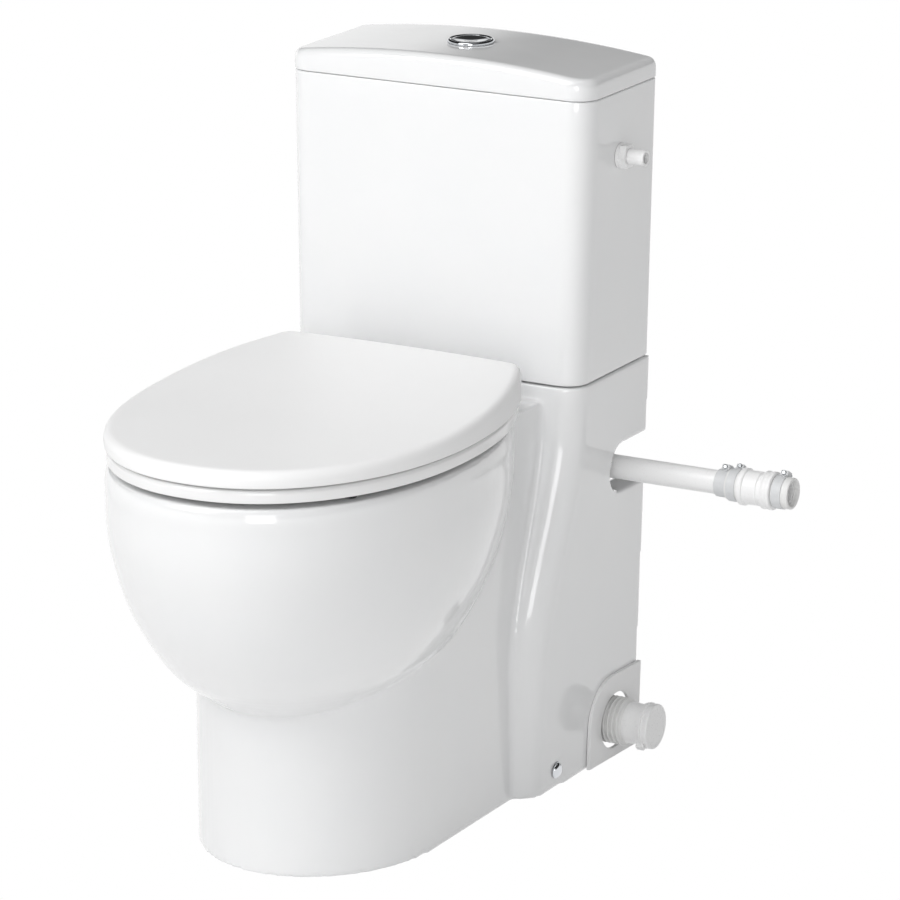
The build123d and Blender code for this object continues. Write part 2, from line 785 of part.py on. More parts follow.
# Chrome bezel with its tube through the lid, and the nut that clamps it from below
button_axis = Axis((0, -button_depth, 0), (0, 0, 1))
bezel_base = cistern_lid_crown + lid_gap / 2
bezel_top = bezel_base + bezel_height
button_top = bezel_top - bezel_height / 6
button_foot = button_top - button_thickness
shoulder_top = button_foot - button_travel - soft_clearance
with BuildPart() as button_bezel:
    with BuildSketch(Plane.XZ.offset(button_depth)):
        with BuildLine():
            bore = button_radius + button_gap
            tube_foot = bezel_base - bezel_tube_length
            crest_radius = (bezel_radius + bore) / 2
            Polyline((bore, bezel_top - bezel_height / 6), (bore, shoulder_top),
                     (bore - bezel_shoulder, shoulder_top),
                     (bore - bezel_shoulder, shoulder_top - bezel_shoulder),
                     (bore, shoulder_top - bezel_shoulder), (bore, tube_foot),
                     (bezel_tube_radius, tube_foot),
                     (bezel_tube_radius, bezel_base), (bezel_radius, bezel_base),
                     (bezel_radius, bezel_base + bezel_height / 3))
            ThreePointArc((bezel_radius, bezel_base + bezel_height / 3), (crest_radius, bezel_top),
                          (bore, bezel_top - bezel_height / 6))
        make_face()
    revolve(axis=button_axis)

with BuildPart() as bezel_nut:
    with BuildSketch(Plane.XY.offset(lid_ceiling - bezel_nut_height)):
        with Locations((0, -button_depth)):
            RegularPolygon(bezel_nut_radius, 12)
            Circle(bezel_tube_radius + hinge_fit, mode=Mode.SUBTRACT)
    extrude(amount=bezel_nut_height)

rod_foot = tower_top + button_travel + screw_clearance


def half_button(side, rod_offset):
    """One of the two flush buttons with its push rod; side is 1 for the right one."""
    with BuildPart() as button:
        with BuildSketch(Plane.XY.offset(button_foot)):
            with Locations((0, -button_depth)):
                Circle(button_radius)
        extrude(amount=button_thickness)
        with BuildSketch(Plane.XZ.offset(button_depth)):
            with BuildLine():
                ThreePointArc((-button_radius, button_top), (0, button_top - button_crown),
                              (button_radius, button_top))
                Line((button_radius, button_top), (-button_radius, button_top))
            make_face()
        extrude(amount=button_radius, both=True, mode=Mode.SUBTRACT)
        split(bisect_by=Plane.YZ.offset(button_split + side * button_gap / 2),
              keep=Keep.TOP if side > 0 else Keep.BOTTOM)
        with BuildSketch(Plane.XY.offset(rod_foot)):
            with Locations((rod_offset, -button_depth)):
                Circle(rod_radius)
        extrude(amount=button_foot - rod_foot)
    return button


full_flush_button = half_button(-1, full_rod_offset)
half_flush_button = half_button(1, half_rod_offset)


# Seat ring, lid and the hinge at the rear
seat_length = seat_centre_depth + seat_front - seat_back_depth


def seat_block(foot, height, inset):
    """Solid with the plan of the seat, square at the rear, its outline moved in by inset."""
    points = seat_outline(seat_half_width - inset, seat_front - inset, seat_rear - inset, -seat_centre_depth,
                          -seat_back_depth - inset)
    with BuildPart() as block:
        with BuildSketch(Plane.XY.offset(foot)):
            with BuildLine():
                Spline(*points)
                Line(points[-1], points[0])
            make_face()
            fillet(vertices(), seat_corner_radius)
        extrude(amount=height)
    return block.part


def wedge_form(drop):
    """Wedge that rises to the rear with a top crowned across, lowered by drop."""
    reach = seat_half_width + overrun
    foot = seat_lid_base - overrun
    with BuildPart() as wedge:
        for length_share, height_share in seat_lid_profile_shares:
            station = seat_centre_depth + seat_front - length_share * seat_length
            edge_height = seat_lid_base + height_share * seat_lid_rear_thickness - drop
            with BuildSketch(Plane.XZ.offset(station)):
                with BuildLine():
                    crown_height = edge_height + seat_lid_crown
                    ThreePointArc((-reach, edge_height), (0, crown_height), (reach, edge_height))
                    Polyline((reach, edge_height), (reach, foot), (-reach, foot), (-reach, edge_height))
                make_face()
        loft()
    return wedge.part


def lug_form(offset_x, outline):
    """Hinge lug: an eye round the axis with an arm of the given outline, seen from the side."""
    with BuildPart() as lug:
        with BuildSketch(Plane.YZ.offset(offset_x - hinge_lug_width / 2)):
            Polygon(*outline, align=None)
            with Locations((-hinge_depth, hinge_height)):
                Circle(hinge_lug_radius)
                Circle(hinge_pin_radius + hinge_fit, mode=Mode.SUBTRACT)
        extrude(amount=hinge_lug_width)
    return lug.part


eye_rear = -hinge_depth + hinge_pin_radius
root_y = -seat_back_depth - lug_root
lug_step = hinge_lug_radius - hinge_pin_radius
ring_top = ring_base + ring_thickness
ring_lug_outline = [
    (root_y, ring_base + ring_edge_radius), (root_y, ring_top - lug_step),
    (-seat_back_depth + lug_step, ring_top),
    (-hinge_depth - hinge_lug_radius, hinge_height), (-hinge_depth, hinge_height),
    (eye_rear, hinge_height - hinge_lug_radius + 2 * hinge_fit),
    (-seat_back_depth + hinge_lug_radius, ring_base + ring_edge_radius),
]
lid_lug_outline = [
    (root_y, hinge_height - hinge_pin_radius), (root_y, hinge_height + hinge_lug_radius),
    (-hinge_depth, hinge_height + hinge_lug_radius), (-hinge_depth, hinge_height - hinge_lug_radius),
]
ring_lugs = lug_form(ring_lug_offset, ring_lug_outline)
lid_lugs = lug_form(lid_lug_offset, lid_lug_outline)
eye_bore = Cylinder(hinge_pin_radius + hinge_fit, 2 * hinge_pin_end, rotation=(0, 90, 0), mode=Mode.PRIVATE)
eye_bore = Location((0, -hinge_depth, hinge_height)) * eye_bore

with BuildPart() as seat_ring:
    add(seat_block(ring_base, ring_thickness, 0))
    with BuildSketch(Plane.XY.offset(ring_base)):
        with BuildLine():
            Spline(*rounded_outline(ring_hole_half_width, ring_hole_front, ring_hole_rear, seat_power,
                                    -ring_hole_depth), periodic=True)
        make_face()
    extrude(amount=ring_thickness, mode=Mode.SUBTRACT)
    ring_faces = seat_ring.faces().filter_by(Axis.Z)
    fillet(ring_faces.edges(), ring_edge_radius)
    for side in (0, 1):
        add(ring_lugs if side else ring_lugs.mirror(Plane.YZ))
    add(eye_bore, mode=Mode.SUBTRACT)

seat_lid_recess = wedge_form(seat_lid_wall) & seat_block(
    seat_lid_base - overrun, 2 * seat_lid_rear_thickness, seat_lid_recess_margin)
with BuildPart() as seat_lid:
    add(wedge_form(0))
    add(seat_block(seat_lid_base, 2 * seat_lid_rear_thickness, 0), mode=Mode.INTERSECT)
    fillet(seat_lid.faces().sort_by(Axis.Z)[-1].outer_wire().edges(), seat_lid_edge_radius)
    add(seat_lid_recess, mode=Mode.SUBTRACT)
    for side in (0, 1):
        add(lid_lugs if side else lid_lugs.mirror(Plane.YZ))
    add(eye_bore, mode=Mode.SUBTRACT)

# Rubber buffers under the ring and under the lid
def buffer_places(half_width, front, centre_depth):
    """Two places on each side, one toward the front and one behind the middle."""
    places = []
    for angle in (buffer_angle, rear_buffer_angle):
        turn = pi * angle / half_turn
        for side in (-1, 1):
            places.append((side * half_width * cos(turn), -centre_depth - front * sin(turn)))
    return places


rim_inset = (bowl_half_width - well_half_width) / 2
lid_rim_inset = seat_lid_recess_margin / 2
with BuildPart() as seat_buffers:
    with BuildSketch(Plane.XY.offset(rim_height + soft_clearance)):
        with Locations(*buffer_places(bowl_half_width - rim_inset, bowl_front - rim_inset,
                                      bowl_centre_depth)):
            Circle(seat_buffer_radius)
    extrude(amount=ring_base - rim_height - soft_clearance)

with BuildPart() as lid_buffers:
    with BuildSketch(Plane.XY.offset(ring_top + soft_clearance)):
        with Locations(*buffer_places(seat_half_width - lid_rim_inset, seat_front - lid_rim_inset,
                                      seat_centre_depth)):
            Circle(lid_buffer_radius)
    extrude(amount=seat_lid_base - ring_top - soft_clearance)

# Hinge posts on the deck, their pins, and the bolts through the china
post_places = [(-hinge_post_offset, -hinge_depth), (hinge_post_offset, -hinge_depth)]
with BuildPart() as hinge_posts:
    with BuildSketch(Plane.XY.offset(rim_height)):
        with Locations(*post_places):
            Circle(hinge_disc_radius)
    extrude(amount=hinge_disc_height)
    fillet(hinge_posts.faces().sort_by(Axis.Z)[-1].edges(), hinge_disc_height / 4)
    with BuildSketch(Plane.XY.offset(rim_height + hinge_disc_height)):
        with Locations(*post_places):
            Rectangle(hinge_post_width, 2 * hinge_barrel_radius)
    extrude(amount=hinge_height - rim_height - hinge_disc_height)
    for side in (-1, 1):
        with BuildSketch(Plane.YZ.offset(side * hinge_post_offset - hinge_post_width / 2)):
            with Locations((-hinge_depth, hinge_height)):
                Circle(hinge_barrel_radius)
        extrude(amount=hinge_post_width)
    add(eye_bore, mode=Mode.SUBTRACT)
    with BuildSketch(Plane.XY.offset(rim_height)):
        with Locations(*post_places):
            Circle(hinge_bolt_radius + hinge_fit)
    extrude(amount=hinge_bolt_grip, mode=Mode.SUBTRACT)

with BuildPart() as hinge_pins:
    for side in (-1, 1):
        pin_middle = (hinge_pin_end + ring_lug_offset - hinge_lug_width / 2) / 2
        pin_length = hinge_pin_end - ring_lug_offset + hinge_lug_width / 2
        with BuildSketch(Plane.YZ.offset(side * pin_middle)):
            with Locations((-hinge_depth, hinge_height)):
                Circle(hinge_pin_radius)
        extrude(amount=pin_length / 2, both=True)

with BuildPart() as hinge_bolts:
    with BuildSketch(Plane.XY.offset(rim_height + hinge_bolt_grip - hinge_bolt_length)):
        with Locations(*post_places):
            Circle(hinge_bolt_radius)
    extrude(amount=hinge_bolt_length)

with BuildPart() as hinge_nuts:
    with BuildSketch(Plane.XY.offset(deck_underside - hinge_washer_thickness)):
        with Locations(*post_places):
            Circle(hinge_washer_radius)
            Circle(hinge_bolt_radius + hinge_fit, mode=Mode.SUBTRACT)
    extrude(amount=hinge_washer_thickness)
    with BuildSketch(Plane.XY.offset(deck_underside - hinge_washer_thickness - hinge_nut_height)):
        with Locations(*post_places):
            RegularPolygon(hinge_nut_flats / 2, 6, major_radius=False)
            Circle(hinge_bolt_radius + hinge_fit, mode=Mode.SUBTRACT)
    extrude(amount=hinge_nut_height)


# Flush valve on the cistern floor: base with tail, tower, overflow tube, seal and nut
flush_axis = Axis((0, -flush_axis_depth, 0), (0, 0, 1))
flange_top = cistern_floor_top + valve_flange_height
seat_top = flange_top + valve_seat_height
with BuildPart() as flush_valve_base:
    with BuildSketch(Plane.XZ.offset(flush_axis_depth)):
        with BuildLine():
            tail_inner = valve_tail_bore / 2
            Polyline((tail_inner, valve_tail_foot), (valve_tail_radius, valve_tail_foot),
                     (valve_tail_radius, cistern_floor_top), (valve_flange_radius, cistern_floor_top),
                     (valve_flange_radius, flange_top), (tail_inner + valve_seat_wall, flange_top),
                     (tail_inner + valve_seat_wall, seat_top), (tail_inner, seat_top), close=True)
        make_face()
    revolve(axis=flush_axis)

with BuildPart() as flush_valve_tower:
    with BuildSketch(Plane.XZ.offset(flush_axis_depth)):
        with BuildLine():
            tower_inner = tower_radius - tower_wall
            guide_inner = overflow_radius + running_clearance
            Polyline((tower_radius, flange_top), (tower_radius, tower_top), (guide_inner, tower_top),
                     (guide_inner, tower_top - tower_wall), (tower_inner, tower_top - tower_wall),
                     (tower_inner, tower_guide_height + tower_wall),
                     (guide_inner, tower_guide_height + tower_wall),
                     (guide_inner, tower_guide_height), (tower_inner, tower_guide_height),
                     (tower_inner, flange_top), close=True)
        make_face()
    revolve(axis=flush_axis)
    with BuildSketch(Plane.XZ.offset(flush_axis_depth)):
        with Locations((0, flange_top + overrun / 4 + tower_window_height / 2),
                       (0, tower_guide_height - tower_window_height)):
            RectangleRounded(tower_window_width, tower_window_height, tower_window_width / 3)
    window = extrude(amount=tower_radius + tower_wall, mode=Mode.PRIVATE)
    for turn in range(tower_window_count):
        add(window.rotate(flush_axis, 2 * half_turn * turn / tower_window_count), mode=Mode.SUBTRACT)
    with BuildSketch(Plane.XY.offset(tower_guide_height)):
        with Locations((0, -flush_axis_depth)):
            with PolarLocations((guide_inner + tower_inner) / 2, tower_window_count):
                Circle((tower_inner - guide_inner) / 4)
    extrude(amount=tower_wall, mode=Mode.SUBTRACT)

seal_foot = seat_top + soft_clearance
seal_top = seal_foot + seal_thickness
with BuildPart() as overflow_tube:
    with BuildSketch(Plane.XZ.offset(flush_axis_depth)):
        with BuildLine():
            tube_inner = overflow_radius - overflow_wall
            Polyline((tube_inner, seal_foot - tower_wall), (tube_inner, overflow_top),
                     (overflow_radius, overflow_top), (overflow_radius, seal_top + tower_wall),
                     (seal_radius - tower_wall, seal_top + tower_wall), (seal_radius - tower_wall, seal_top),
                     (overflow_radius, seal_top), (overflow_radius, seal_foot - tower_wall), close=True)
        make_face()
    revolve(axis=flush_axis)

with BuildPart() as flush_seal:
    with BuildSketch(Plane.XY.offset(seal_foot)):
        with Locations((0, -flush_axis_depth)):
            Circle(seal_radius)
            Circle(overflow_radius, mode=Mode.SUBTRACT)
    extrude(amount=seal_thickness)

with BuildPart() as flush_valve_nut:
    with BuildSketch(Plane.XY.offset(cistern_base - valve_nut_height)):
        with Locations((0, -flush_axis_depth)):
            RegularPolygon(valve_nut_radius, 8)
            Circle(valve_tail_radius + hinge_fit, mode=Mode.SUBTRACT)
    extrude(amount=valve_nut_height)

gasket_floor = column_height - gasket_seat_depth
with BuildPart() as cistern_gasket:
    with BuildSketch(Plane.XY.offset(gasket_floor)):
        with Locations((0, -flush_axis_depth)):
            Circle(gasket_radius)
            Circle(gasket_bore, mode=Mode.SUBTRACT)
    extrude(amount=cistern_base - gasket_floor)

# Rubber pads between cistern and column with the washers of the bolts that clamp them
bolt_places = [(side * cistern_bolt_spacing / 2, -cistern_bolt_depth) for side in (-1, 1)]
column_ceiling = column_height - column_top_wall
with BuildPart() as cistern_washers:
    with BuildSketch(Plane.XY.offset(column_height)):
        with Locations((-cistern_pad_offset, -cistern_bolt_depth),
                       (cistern_pad_offset, -cistern_bolt_depth)):
            Rectangle(cistern_pad_width, cistern_pad_depth)
    extrude(amount=seam_gap)
    for washer_foot in (cistern_floor_top, column_ceiling - cistern_washer_thickness):
        with BuildSketch(Plane.XY.offset(washer_foot)):
            with Locations(*bolt_places):
                Circle(cistern_washer_radius)
                Circle(cistern_bolt_radius + hinge_fit, mode=Mode.SUBTRACT)
        extrude(amount=cistern_washer_thickness)

with BuildPart() as cistern_bolts:
    with BuildSketch(Plane.XY.offset(column_ceiling - wing_nut_height - cistern_washer_thickness)):
        with Locations(*bolt_places):
            Circle(cistern_bolt_radius)
    extrude(amount=cistern_floor_top - column_ceiling + wing_nut_height + 2 * cistern_washer_thickness)
    with BuildSketch(Plane.XY.offset(cistern_floor_top + cistern_washer_thickness)):
        with Locations(*bolt_places):
            Circle(cistern_bolt_head_radius)
    extrude(amount=cistern_bolt_head_height)
    fillet(cistern_bolts.faces().sort_by(Axis.Z)[-2:].edges(), cistern_bolt_head_height / 3)

with BuildPart() as wing_nuts:
    with BuildSketch(Plane.XY.offset(column_ceiling - cistern_washer_thickness - wing_nut_height)):
        with Locations(*bolt_places):
            Circle(wing_nut_radius)
            Rectangle(wing_thickness, 2 * (wing_nut_radius + wing_length))
            Circle(cistern_bolt_radius + hinge_fit, mode=Mode.SUBTRACT)
    extrude(amount=wing_nut_height)

# Fill valve: tail through the right wall, guide tube and sliding float
wall_inner_x = cistern_half_width + cistern_spread * (inlet_tail_height - cistern_base) - cistern_wall
wall_outer_x = wall_inner_x + cistern_wall
inlet_seat_gap = soft_clearance + inlet_flange_radius * cistern_spread
washer_start = wall_outer_x + inlet_seat_gap
nut_start = washer_start + inlet_washer_thickness
with BuildPart() as fill_valve_body:
    with BuildSketch(Plane.YZ.offset(fill_guide_offset)):
        with Locations((-inlet_tail_depth, inlet_tail_height)):
            Circle(inlet_tail_radius)
    extrude(amount=nut_start + inlet_nut_thickness + inlet_tail_length - fill_guide_offset)
    # relief groove where the thread runs out at the face of the nut
    with BuildSketch(Plane.YZ.offset(nut_start + inlet_nut_thickness - inlet_relief_cover)):
        with Locations((-inlet_tail_depth, inlet_tail_height)):
            Circle(inlet_tail_radius + overrun)
            Circle(inlet_tail_radius - inlet_relief_depth, mode=Mode.SUBTRACT)
    extrude(amount=inlet_relief_width, mode=Mode.SUBTRACT)
    with BuildSketch(Plane.YZ.offset(wall_inner_x - inlet_flange_thickness - inlet_seat_gap)):
        with Locations((-inlet_tail_depth, inlet_tail_height)):
            Circle(inlet_flange_radius)
    extrude(amount=inlet_flange_thickness)
    with BuildSketch(Plane.XY.offset(fill_guide_foot)):
        with Locations((fill_guide_offset, -inlet_tail_depth)):
            Circle(fill_guide_radius)
    extrude(amount=fill_guide_top - fill_guide_foot)
    with BuildSketch(Plane.XY.offset(fill_guide_top)):
        with Locations((fill_guide_offset, -inlet_tail_depth)):
            Circle(fill_cap_radius)
    extrude(amount=fill_cap_height)
    fillet(fill_valve_body.faces().sort_by(Axis.Z)[-1].edges(), fill_cap_height / 4)
    with BuildSketch(Plane.XY.offset(fill_guide_foot)):
        with Locations((fill_guide_offset, -inlet_tail_depth)):
            Circle(fill_guide_radius - fill_guide_wall)
    extrude(amount=fill_guide_top - fill_guide_foot, mode=Mode.SUBTRACT)
    with BuildSketch(Plane.YZ.offset(fill_guide_offset)):
        with Locations((-inlet_tail_depth, inlet_tail_height)):
            Circle(inlet_tail_bore / 2)
    extrude(amount=wall_outer_x + overrun + inlet_tail_length, mode=Mode.SUBTRACT)

float_axis = Axis((fill_guide_offset, -inlet_tail_depth, 0), (0, 0, 1))
with BuildPart() as fill_valve_float:
    with BuildSketch(Plane.XZ.offset(inlet_tail_depth)):
        with BuildLine():
            float_inner = fill_guide_offset + fill_guide_radius + running_clearance
            float_outer = fill_guide_offset + float_radius
            float_top = float_foot + float_height
            Polyline((float_inner, float_foot), (float_inner + float_wall, float_foot),
                     (float_inner + float_wall, float_top - float_wall),
                     (float_outer - float_wall, float_top - float_wall),
                     (float_outer - float_wall, float_foot), (float_outer, float_foot),
                     (float_outer, float_top), (float_inner, float_top), close=True)
        make_face()
    revolve(axis=float_axis)

with BuildPart() as inlet_nut:
    with BuildSketch(Plane.YZ.offset(washer_start)):
        with Locations((-inlet_tail_depth, inlet_tail_height)):
            Circle(inlet_washer_radius)
            Circle(inlet_tail_radius + hinge_fit, mode=Mode.SUBTRACT)
    extrude(amount=inlet_washer_thickness)
    with BuildSketch(Plane.YZ.offset(nut_start)):
        with Locations((-inlet_tail_depth, inlet_tail_height)):
            RegularPolygon(inlet_nut_flats / 2, 6, major_radius=False)
            Circle(inlet_tail_radius + hinge_fit, mode=Mode.SUBTRACT)
    extrude(amount=inlet_nut_thickness)


# Macerator in the open back of the column: casing with spigots, cover and screws
casing_middle_y = -(casing_front + casing_back) / 2
casing_depth = casing_front - casing_back
motor_centre = (motor_offset, -motor_depth)
motor_axis = Axis((motor_offset, -motor_depth, 0), (0, 0, 1))
riser_centre = (riser_offset, -pipe_axis_depth)
with BuildPart() as macerator_casing:
    with BuildSketch(Plane.XY.offset(casing_foot)):
        with Locations((0, casing_middle_y)):
            RectangleRounded(2 * casing_half_width, casing_depth, casing_corner_radius)
    extrude(amount=casing_top - casing_foot)
    fillet(macerator_casing.faces().sort_by(Axis.Z)[0].edges(), casing_wall)
    with BuildSketch(Plane.XZ.offset(casing_front - casing_wall / 2)):
        with Locations((0, outlet_height)):
            Circle(outlet_outer / 2)
    extrude(amount=casing_spigot_length + casing_wall / 2)
    with BuildSketch(Plane.YZ.offset(casing_half_width - casing_wall / 2)):
        with Locations((-inlet_axis_depth, inlet_axis_height)):
            Circle(side_spigot_radius)
    extrude(amount=side_spigot_length + casing_wall / 2)
    with BuildSketch(Plane.XY):
        with Locations((0, casing_middle_y)):
            with GridLocations(2 * (casing_half_width - casing_foot_inset),
                               casing_depth - 2 * casing_foot_inset, 2, 2):
                Circle(casing_foot_radius)
    extrude(amount=casing_foot + casing_wall)
    with BuildSketch(Plane.XY.offset(casing_foot + casing_wall)):
        with Locations((0, casing_middle_y)):
            RectangleRounded(2 * (casing_half_width - casing_wall), casing_depth - 2 * casing_wall,
                             casing_corner_radius - casing_wall)
    extrude(amount=casing_top - casing_foot, mode=Mode.SUBTRACT)
    with BuildSketch(Plane.XZ.offset(casing_front - 2 * casing_wall)):
        with Locations((0, outlet_height)):
            Circle(outlet_outer / 2 - casing_wall)
    extrude(amount=casing_spigot_length + overrun, mode=Mode.SUBTRACT)
    with BuildSketch(Plane.YZ.offset(casing_half_width - 2 * casing_wall)):
        with Locations((-inlet_axis_depth, inlet_axis_height)):
            Circle(side_spigot_bore / 2)
    extrude(amount=side_spigot_length + overrun, mode=Mode.SUBTRACT)
    with BuildSketch(Plane.XY.offset(casing_top - casing_foot_inset)):
        with Locations((0, casing_middle_y)):
            with GridLocations(2 * (casing_half_width - cover_screw_inset),
                               casing_depth - 2 * cover_screw_inset, 2, 2):
                Circle(cover_screw_inset - casing_wall / 2)
    extrude(amount=casing_foot_inset)
    with BuildSketch(Plane.XY.offset(casing_top - casing_foot_inset)):
        with Locations((0, casing_middle_y)):
            with GridLocations(2 * (casing_half_width - cover_screw_inset),
                               casing_depth - 2 * cover_screw_inset, 2, 2):
                Circle(cover_screw_radius + hinge_fit)
    extrude(amount=casing_foot_inset, mode=Mode.SUBTRACT)

cover_top = casing_top + cover_thickness
bearing_foot = cover_top - bearing_height
seal_hub_foot = casing_top - shaft_seal_height
with BuildPart() as macerator_cover:
    with BuildSketch(Plane.XY.offset(casing_top)):
        with Locations((0, casing_middle_y)):
            RectangleRounded(2 * casing_half_width, casing_depth, casing_corner_radius)
    extrude(amount=cover_thickness)
    fillet(macerator_cover.faces().sort_by(Axis.Z)[-1].edges(), cover_screw_radius)
    with BuildSketch(Plane.XY.offset(seal_hub_foot)):
        with Locations(motor_centre):
            Circle(shaft_seal_radius + shaft_seal_hub_wall)
    extrude(amount=shaft_seal_height)
    with BuildSketch(Plane.XY.offset(seal_hub_foot)):
        with Locations(motor_centre):
            Circle(shaft_seal_radius + hinge_fit)
    extrude(amount=shaft_seal_height + cover_thickness, mode=Mode.SUBTRACT)
    with BuildSketch(Plane.XY.offset(bearing_foot)):
        with Locations(motor_centre):
            Circle(bearing_radius + hinge_fit)
    extrude(amount=bearing_height, mode=Mode.SUBTRACT)
    with BuildSketch(Plane.XY.offset(casing_top)):
        with Locations(riser_centre):
            Circle(pipe_radius + soft_clearance)
        with Locations((0, casing_middle_y)):
            with GridLocations(2 * (casing_half_width - cover_screw_inset),
                               casing_depth - 2 * cover_screw_inset, 2, 2):
                Circle(cover_screw_radius + hinge_fit)
    extrude(amount=cover_thickness, mode=Mode.SUBTRACT)

with BuildPart() as cover_screws:
    for screw_foot, screw_size, screw_length in (
        (casing_top - casing_foot_inset, cover_screw_radius, casing_foot_inset + cover_thickness),
        (cover_top, cover_screw_head_radius, cover_screw_head_height),
    ):
        with BuildSketch(Plane.XY.offset(screw_foot)):
            with Locations((0, casing_middle_y)):
                with GridLocations(2 * (casing_half_width - cover_screw_inset),
                                   casing_depth - 2 * cover_screw_inset, 2, 2):
                    Circle(screw_size)
        extrude(amount=screw_length)

# Motor: finned housing, stator, bearings, shaft seal and cable gland
housing_inner = motor_radius - motor_wall
housing_ceiling = motor_top - motor_wall
upper_bearing_foot = housing_ceiling - bearing_height
with BuildPart() as motor_housing:
    with BuildSketch(Plane.XY.offset(cover_top)):
        with Locations(motor_centre):
            Circle(motor_radius)
            with PolarLocations(motor_radius, motor_fin_count):
                Rectangle(2 * motor_fin_height, motor_fin_thickness)
    extrude(amount=motor_top - cover_top - motor_wall)
    with BuildSketch(Plane.XY.offset(cover_top)):
        with Locations(motor_centre):
            Circle(motor_flange_radius)
    extrude(amount=motor_flange_height)
    with BuildSketch(Plane.XY.offset(housing_ceiling)):
        with Locations(motor_centre):
            Circle(motor_radius)
    extrude(amount=motor_wall)
    with BuildSketch(Plane.YZ.offset(motor_offset - motor_radius - gland_boss_length)):
        with Locations((-motor_depth, gland_height)):
            Circle(gland_boss_radius)
    extrude(amount=gland_boss_length + motor_wall)
    with BuildSketch(Plane.XY.offset(cover_top)):
        with Locations(motor_centre):
            Circle(housing_inner)
    extrude(amount=housing_ceiling - cover_top, mode=Mode.SUBTRACT)
    with BuildSketch(Plane.XY.offset(upper_bearing_foot)):
        with Locations(motor_centre):
            Circle(bearing_radius + bearing_boss_wall)
            Circle(bearing_radius + hinge_fit, mode=Mode.SUBTRACT)
    extrude(amount=bearing_height)
    with BuildSketch(Plane.YZ.offset(motor_offset - motor_radius - gland_boss_length)):
        with Locations((-motor_depth, gland_height)):
            Circle(gland_bore / 2)
    extrude(amount=gland_boss_length + motor_radius / 2, mode=Mode.SUBTRACT)

with BuildPart() as cable_gland:
    gland_start = motor_offset - motor_radius - gland_boss_length - gland_length
    with BuildSketch(Plane.YZ.offset(gland_start + gland_length / 2)):
        with Locations((-motor_depth, gland_height)):
            RegularPolygon(gland_flats / 2, 6, major_radius=False)
    extrude(amount=gland_length / 2)
    with BuildSketch(Plane.YZ.offset(gland_start)):
        with Locations((-motor_depth, gland_height)):
            Circle(gland_bore)
    extrude(amount=gland_length / 2)
    with BuildSketch(Plane.YZ.offset(gland_start)):
        with Locations((-motor_depth, gland_height)):
            Circle(gland_bore / 2)
    extrude(amount=gland_length, mode=Mode.SUBTRACT)

stator_foot = (cover_top + upper_bearing_foot - stator_height) / 2
with BuildPart() as motor_stator:
    with BuildSketch(Plane.XY.offset(stator_foot)):
        with Locations(motor_centre):
            Circle(housing_inner - hinge_fit)
            Circle(stator_radius - motor_wall, mode=Mode.SUBTRACT)
            with PolarLocations((stator_radius + stator_bore / 2) / 2, stator_tooth_count):
                Rectangle(stator_radius - stator_bore / 2, motor_wall)
    extrude(amount=stator_height)

with BuildPart() as motor_bearings:
    for foot in (bearing_foot, upper_bearing_foot):
        with BuildSketch(Plane.XY.offset(foot)):
            with Locations(motor_centre):
                Circle(bearing_radius)
                Circle(shaft_radius + shaft_fit, mode=Mode.SUBTRACT)
        extrude(amount=bearing_height)

with BuildPart() as shaft_seal:
    with BuildSketch(Plane.XY.offset(seal_hub_foot)):
        with Locations(motor_centre):
            Circle(shaft_seal_radius)
            Circle(shaft_radius + shaft_fit, mode=Mode.SUBTRACT)
    extrude(amount=bearing_foot - seal_hub_foot)

# Rotor: shaft with its core, cutting blade and pump impeller
pump_floor = pump_foot + pump_wall
impeller_foot = pump_floor + screw_clearance
with BuildPart() as rotor_shaft:
    with BuildSketch(Plane.XY.offset(impeller_foot)):
        with Locations(motor_centre):
            Circle(shaft_radius)
    extrude(amount=housing_ceiling - soft_clearance - impeller_foot)
    with BuildSketch(Plane.XY.offset(stator_foot)):
        with Locations(motor_centre):
            Circle(rotor_core_radius)
    extrude(amount=stator_height)

with BuildPart() as grinder_blade:
    with BuildSketch(Plane.XY.offset(blade_height)):
        with Locations(motor_centre):
            SlotOverall(blade_length, blade_width)
            SlotOverall(blade_length * rotor_core_radius / stator_radius, blade_width,
                        rotation=half_turn / 2)
    extrude(amount=blade_thickness)
    with BuildSketch(Plane.XY.offset(blade_height)):
        with Locations(motor_centre):
            Circle(blade_hub_radius)
    extrude(amount=blade_hub_height)
    with BuildSketch(Plane.XY.offset(blade_height)):
        with Locations(motor_centre):
            Circle(shaft_radius)
    extrude(amount=blade_hub_height, mode=Mode.SUBTRACT)

with BuildPart() as cutter_basket:
    with BuildSketch(Plane.XY.offset(basket_foot)):
        with Locations(motor_centre):
            Circle(basket_radius)
            Circle(basket_radius - basket_wall, mode=Mode.SUBTRACT)
    extrude(amount=casing_top - basket_foot)
    with BuildSketch(Plane.XY.offset(basket_foot)):
        with Locations(motor_centre):
            Circle(basket_radius)
            Circle(blade_hub_radius + casing_wall, mode=Mode.SUBTRACT)
            with PolarLocations(basket_radius / 2 + casing_wall, basket_slot_count // 2):
                SlotOverall(basket_radius / 2, basket_slot_width, mode=Mode.SUBTRACT)
    extrude(amount=basket_wall)
    with BuildSketch(Plane.XZ.offset(motor_depth)):
        with Locations((motor_offset, (basket_foot + casing_top) / 2)):
            SlotOverall(basket_slot_height, basket_slot_width, rotation=half_turn / 2)
    slot = extrude(amount=basket_radius + basket_wall, mode=Mode.PRIVATE)
    for turn in range(basket_slot_count):
        add(slot.rotate(motor_axis, 2 * half_turn * turn / basket_slot_count), mode=Mode.SUBTRACT)

with BuildSketch() as vane:
    with BuildLine():
        RadiusArc((shaft_radius, 0), (impeller_radius - impeller_vane_thickness, 0), impeller_radius)
        offset(amount=impeller_vane_thickness / 2)
    make_face()

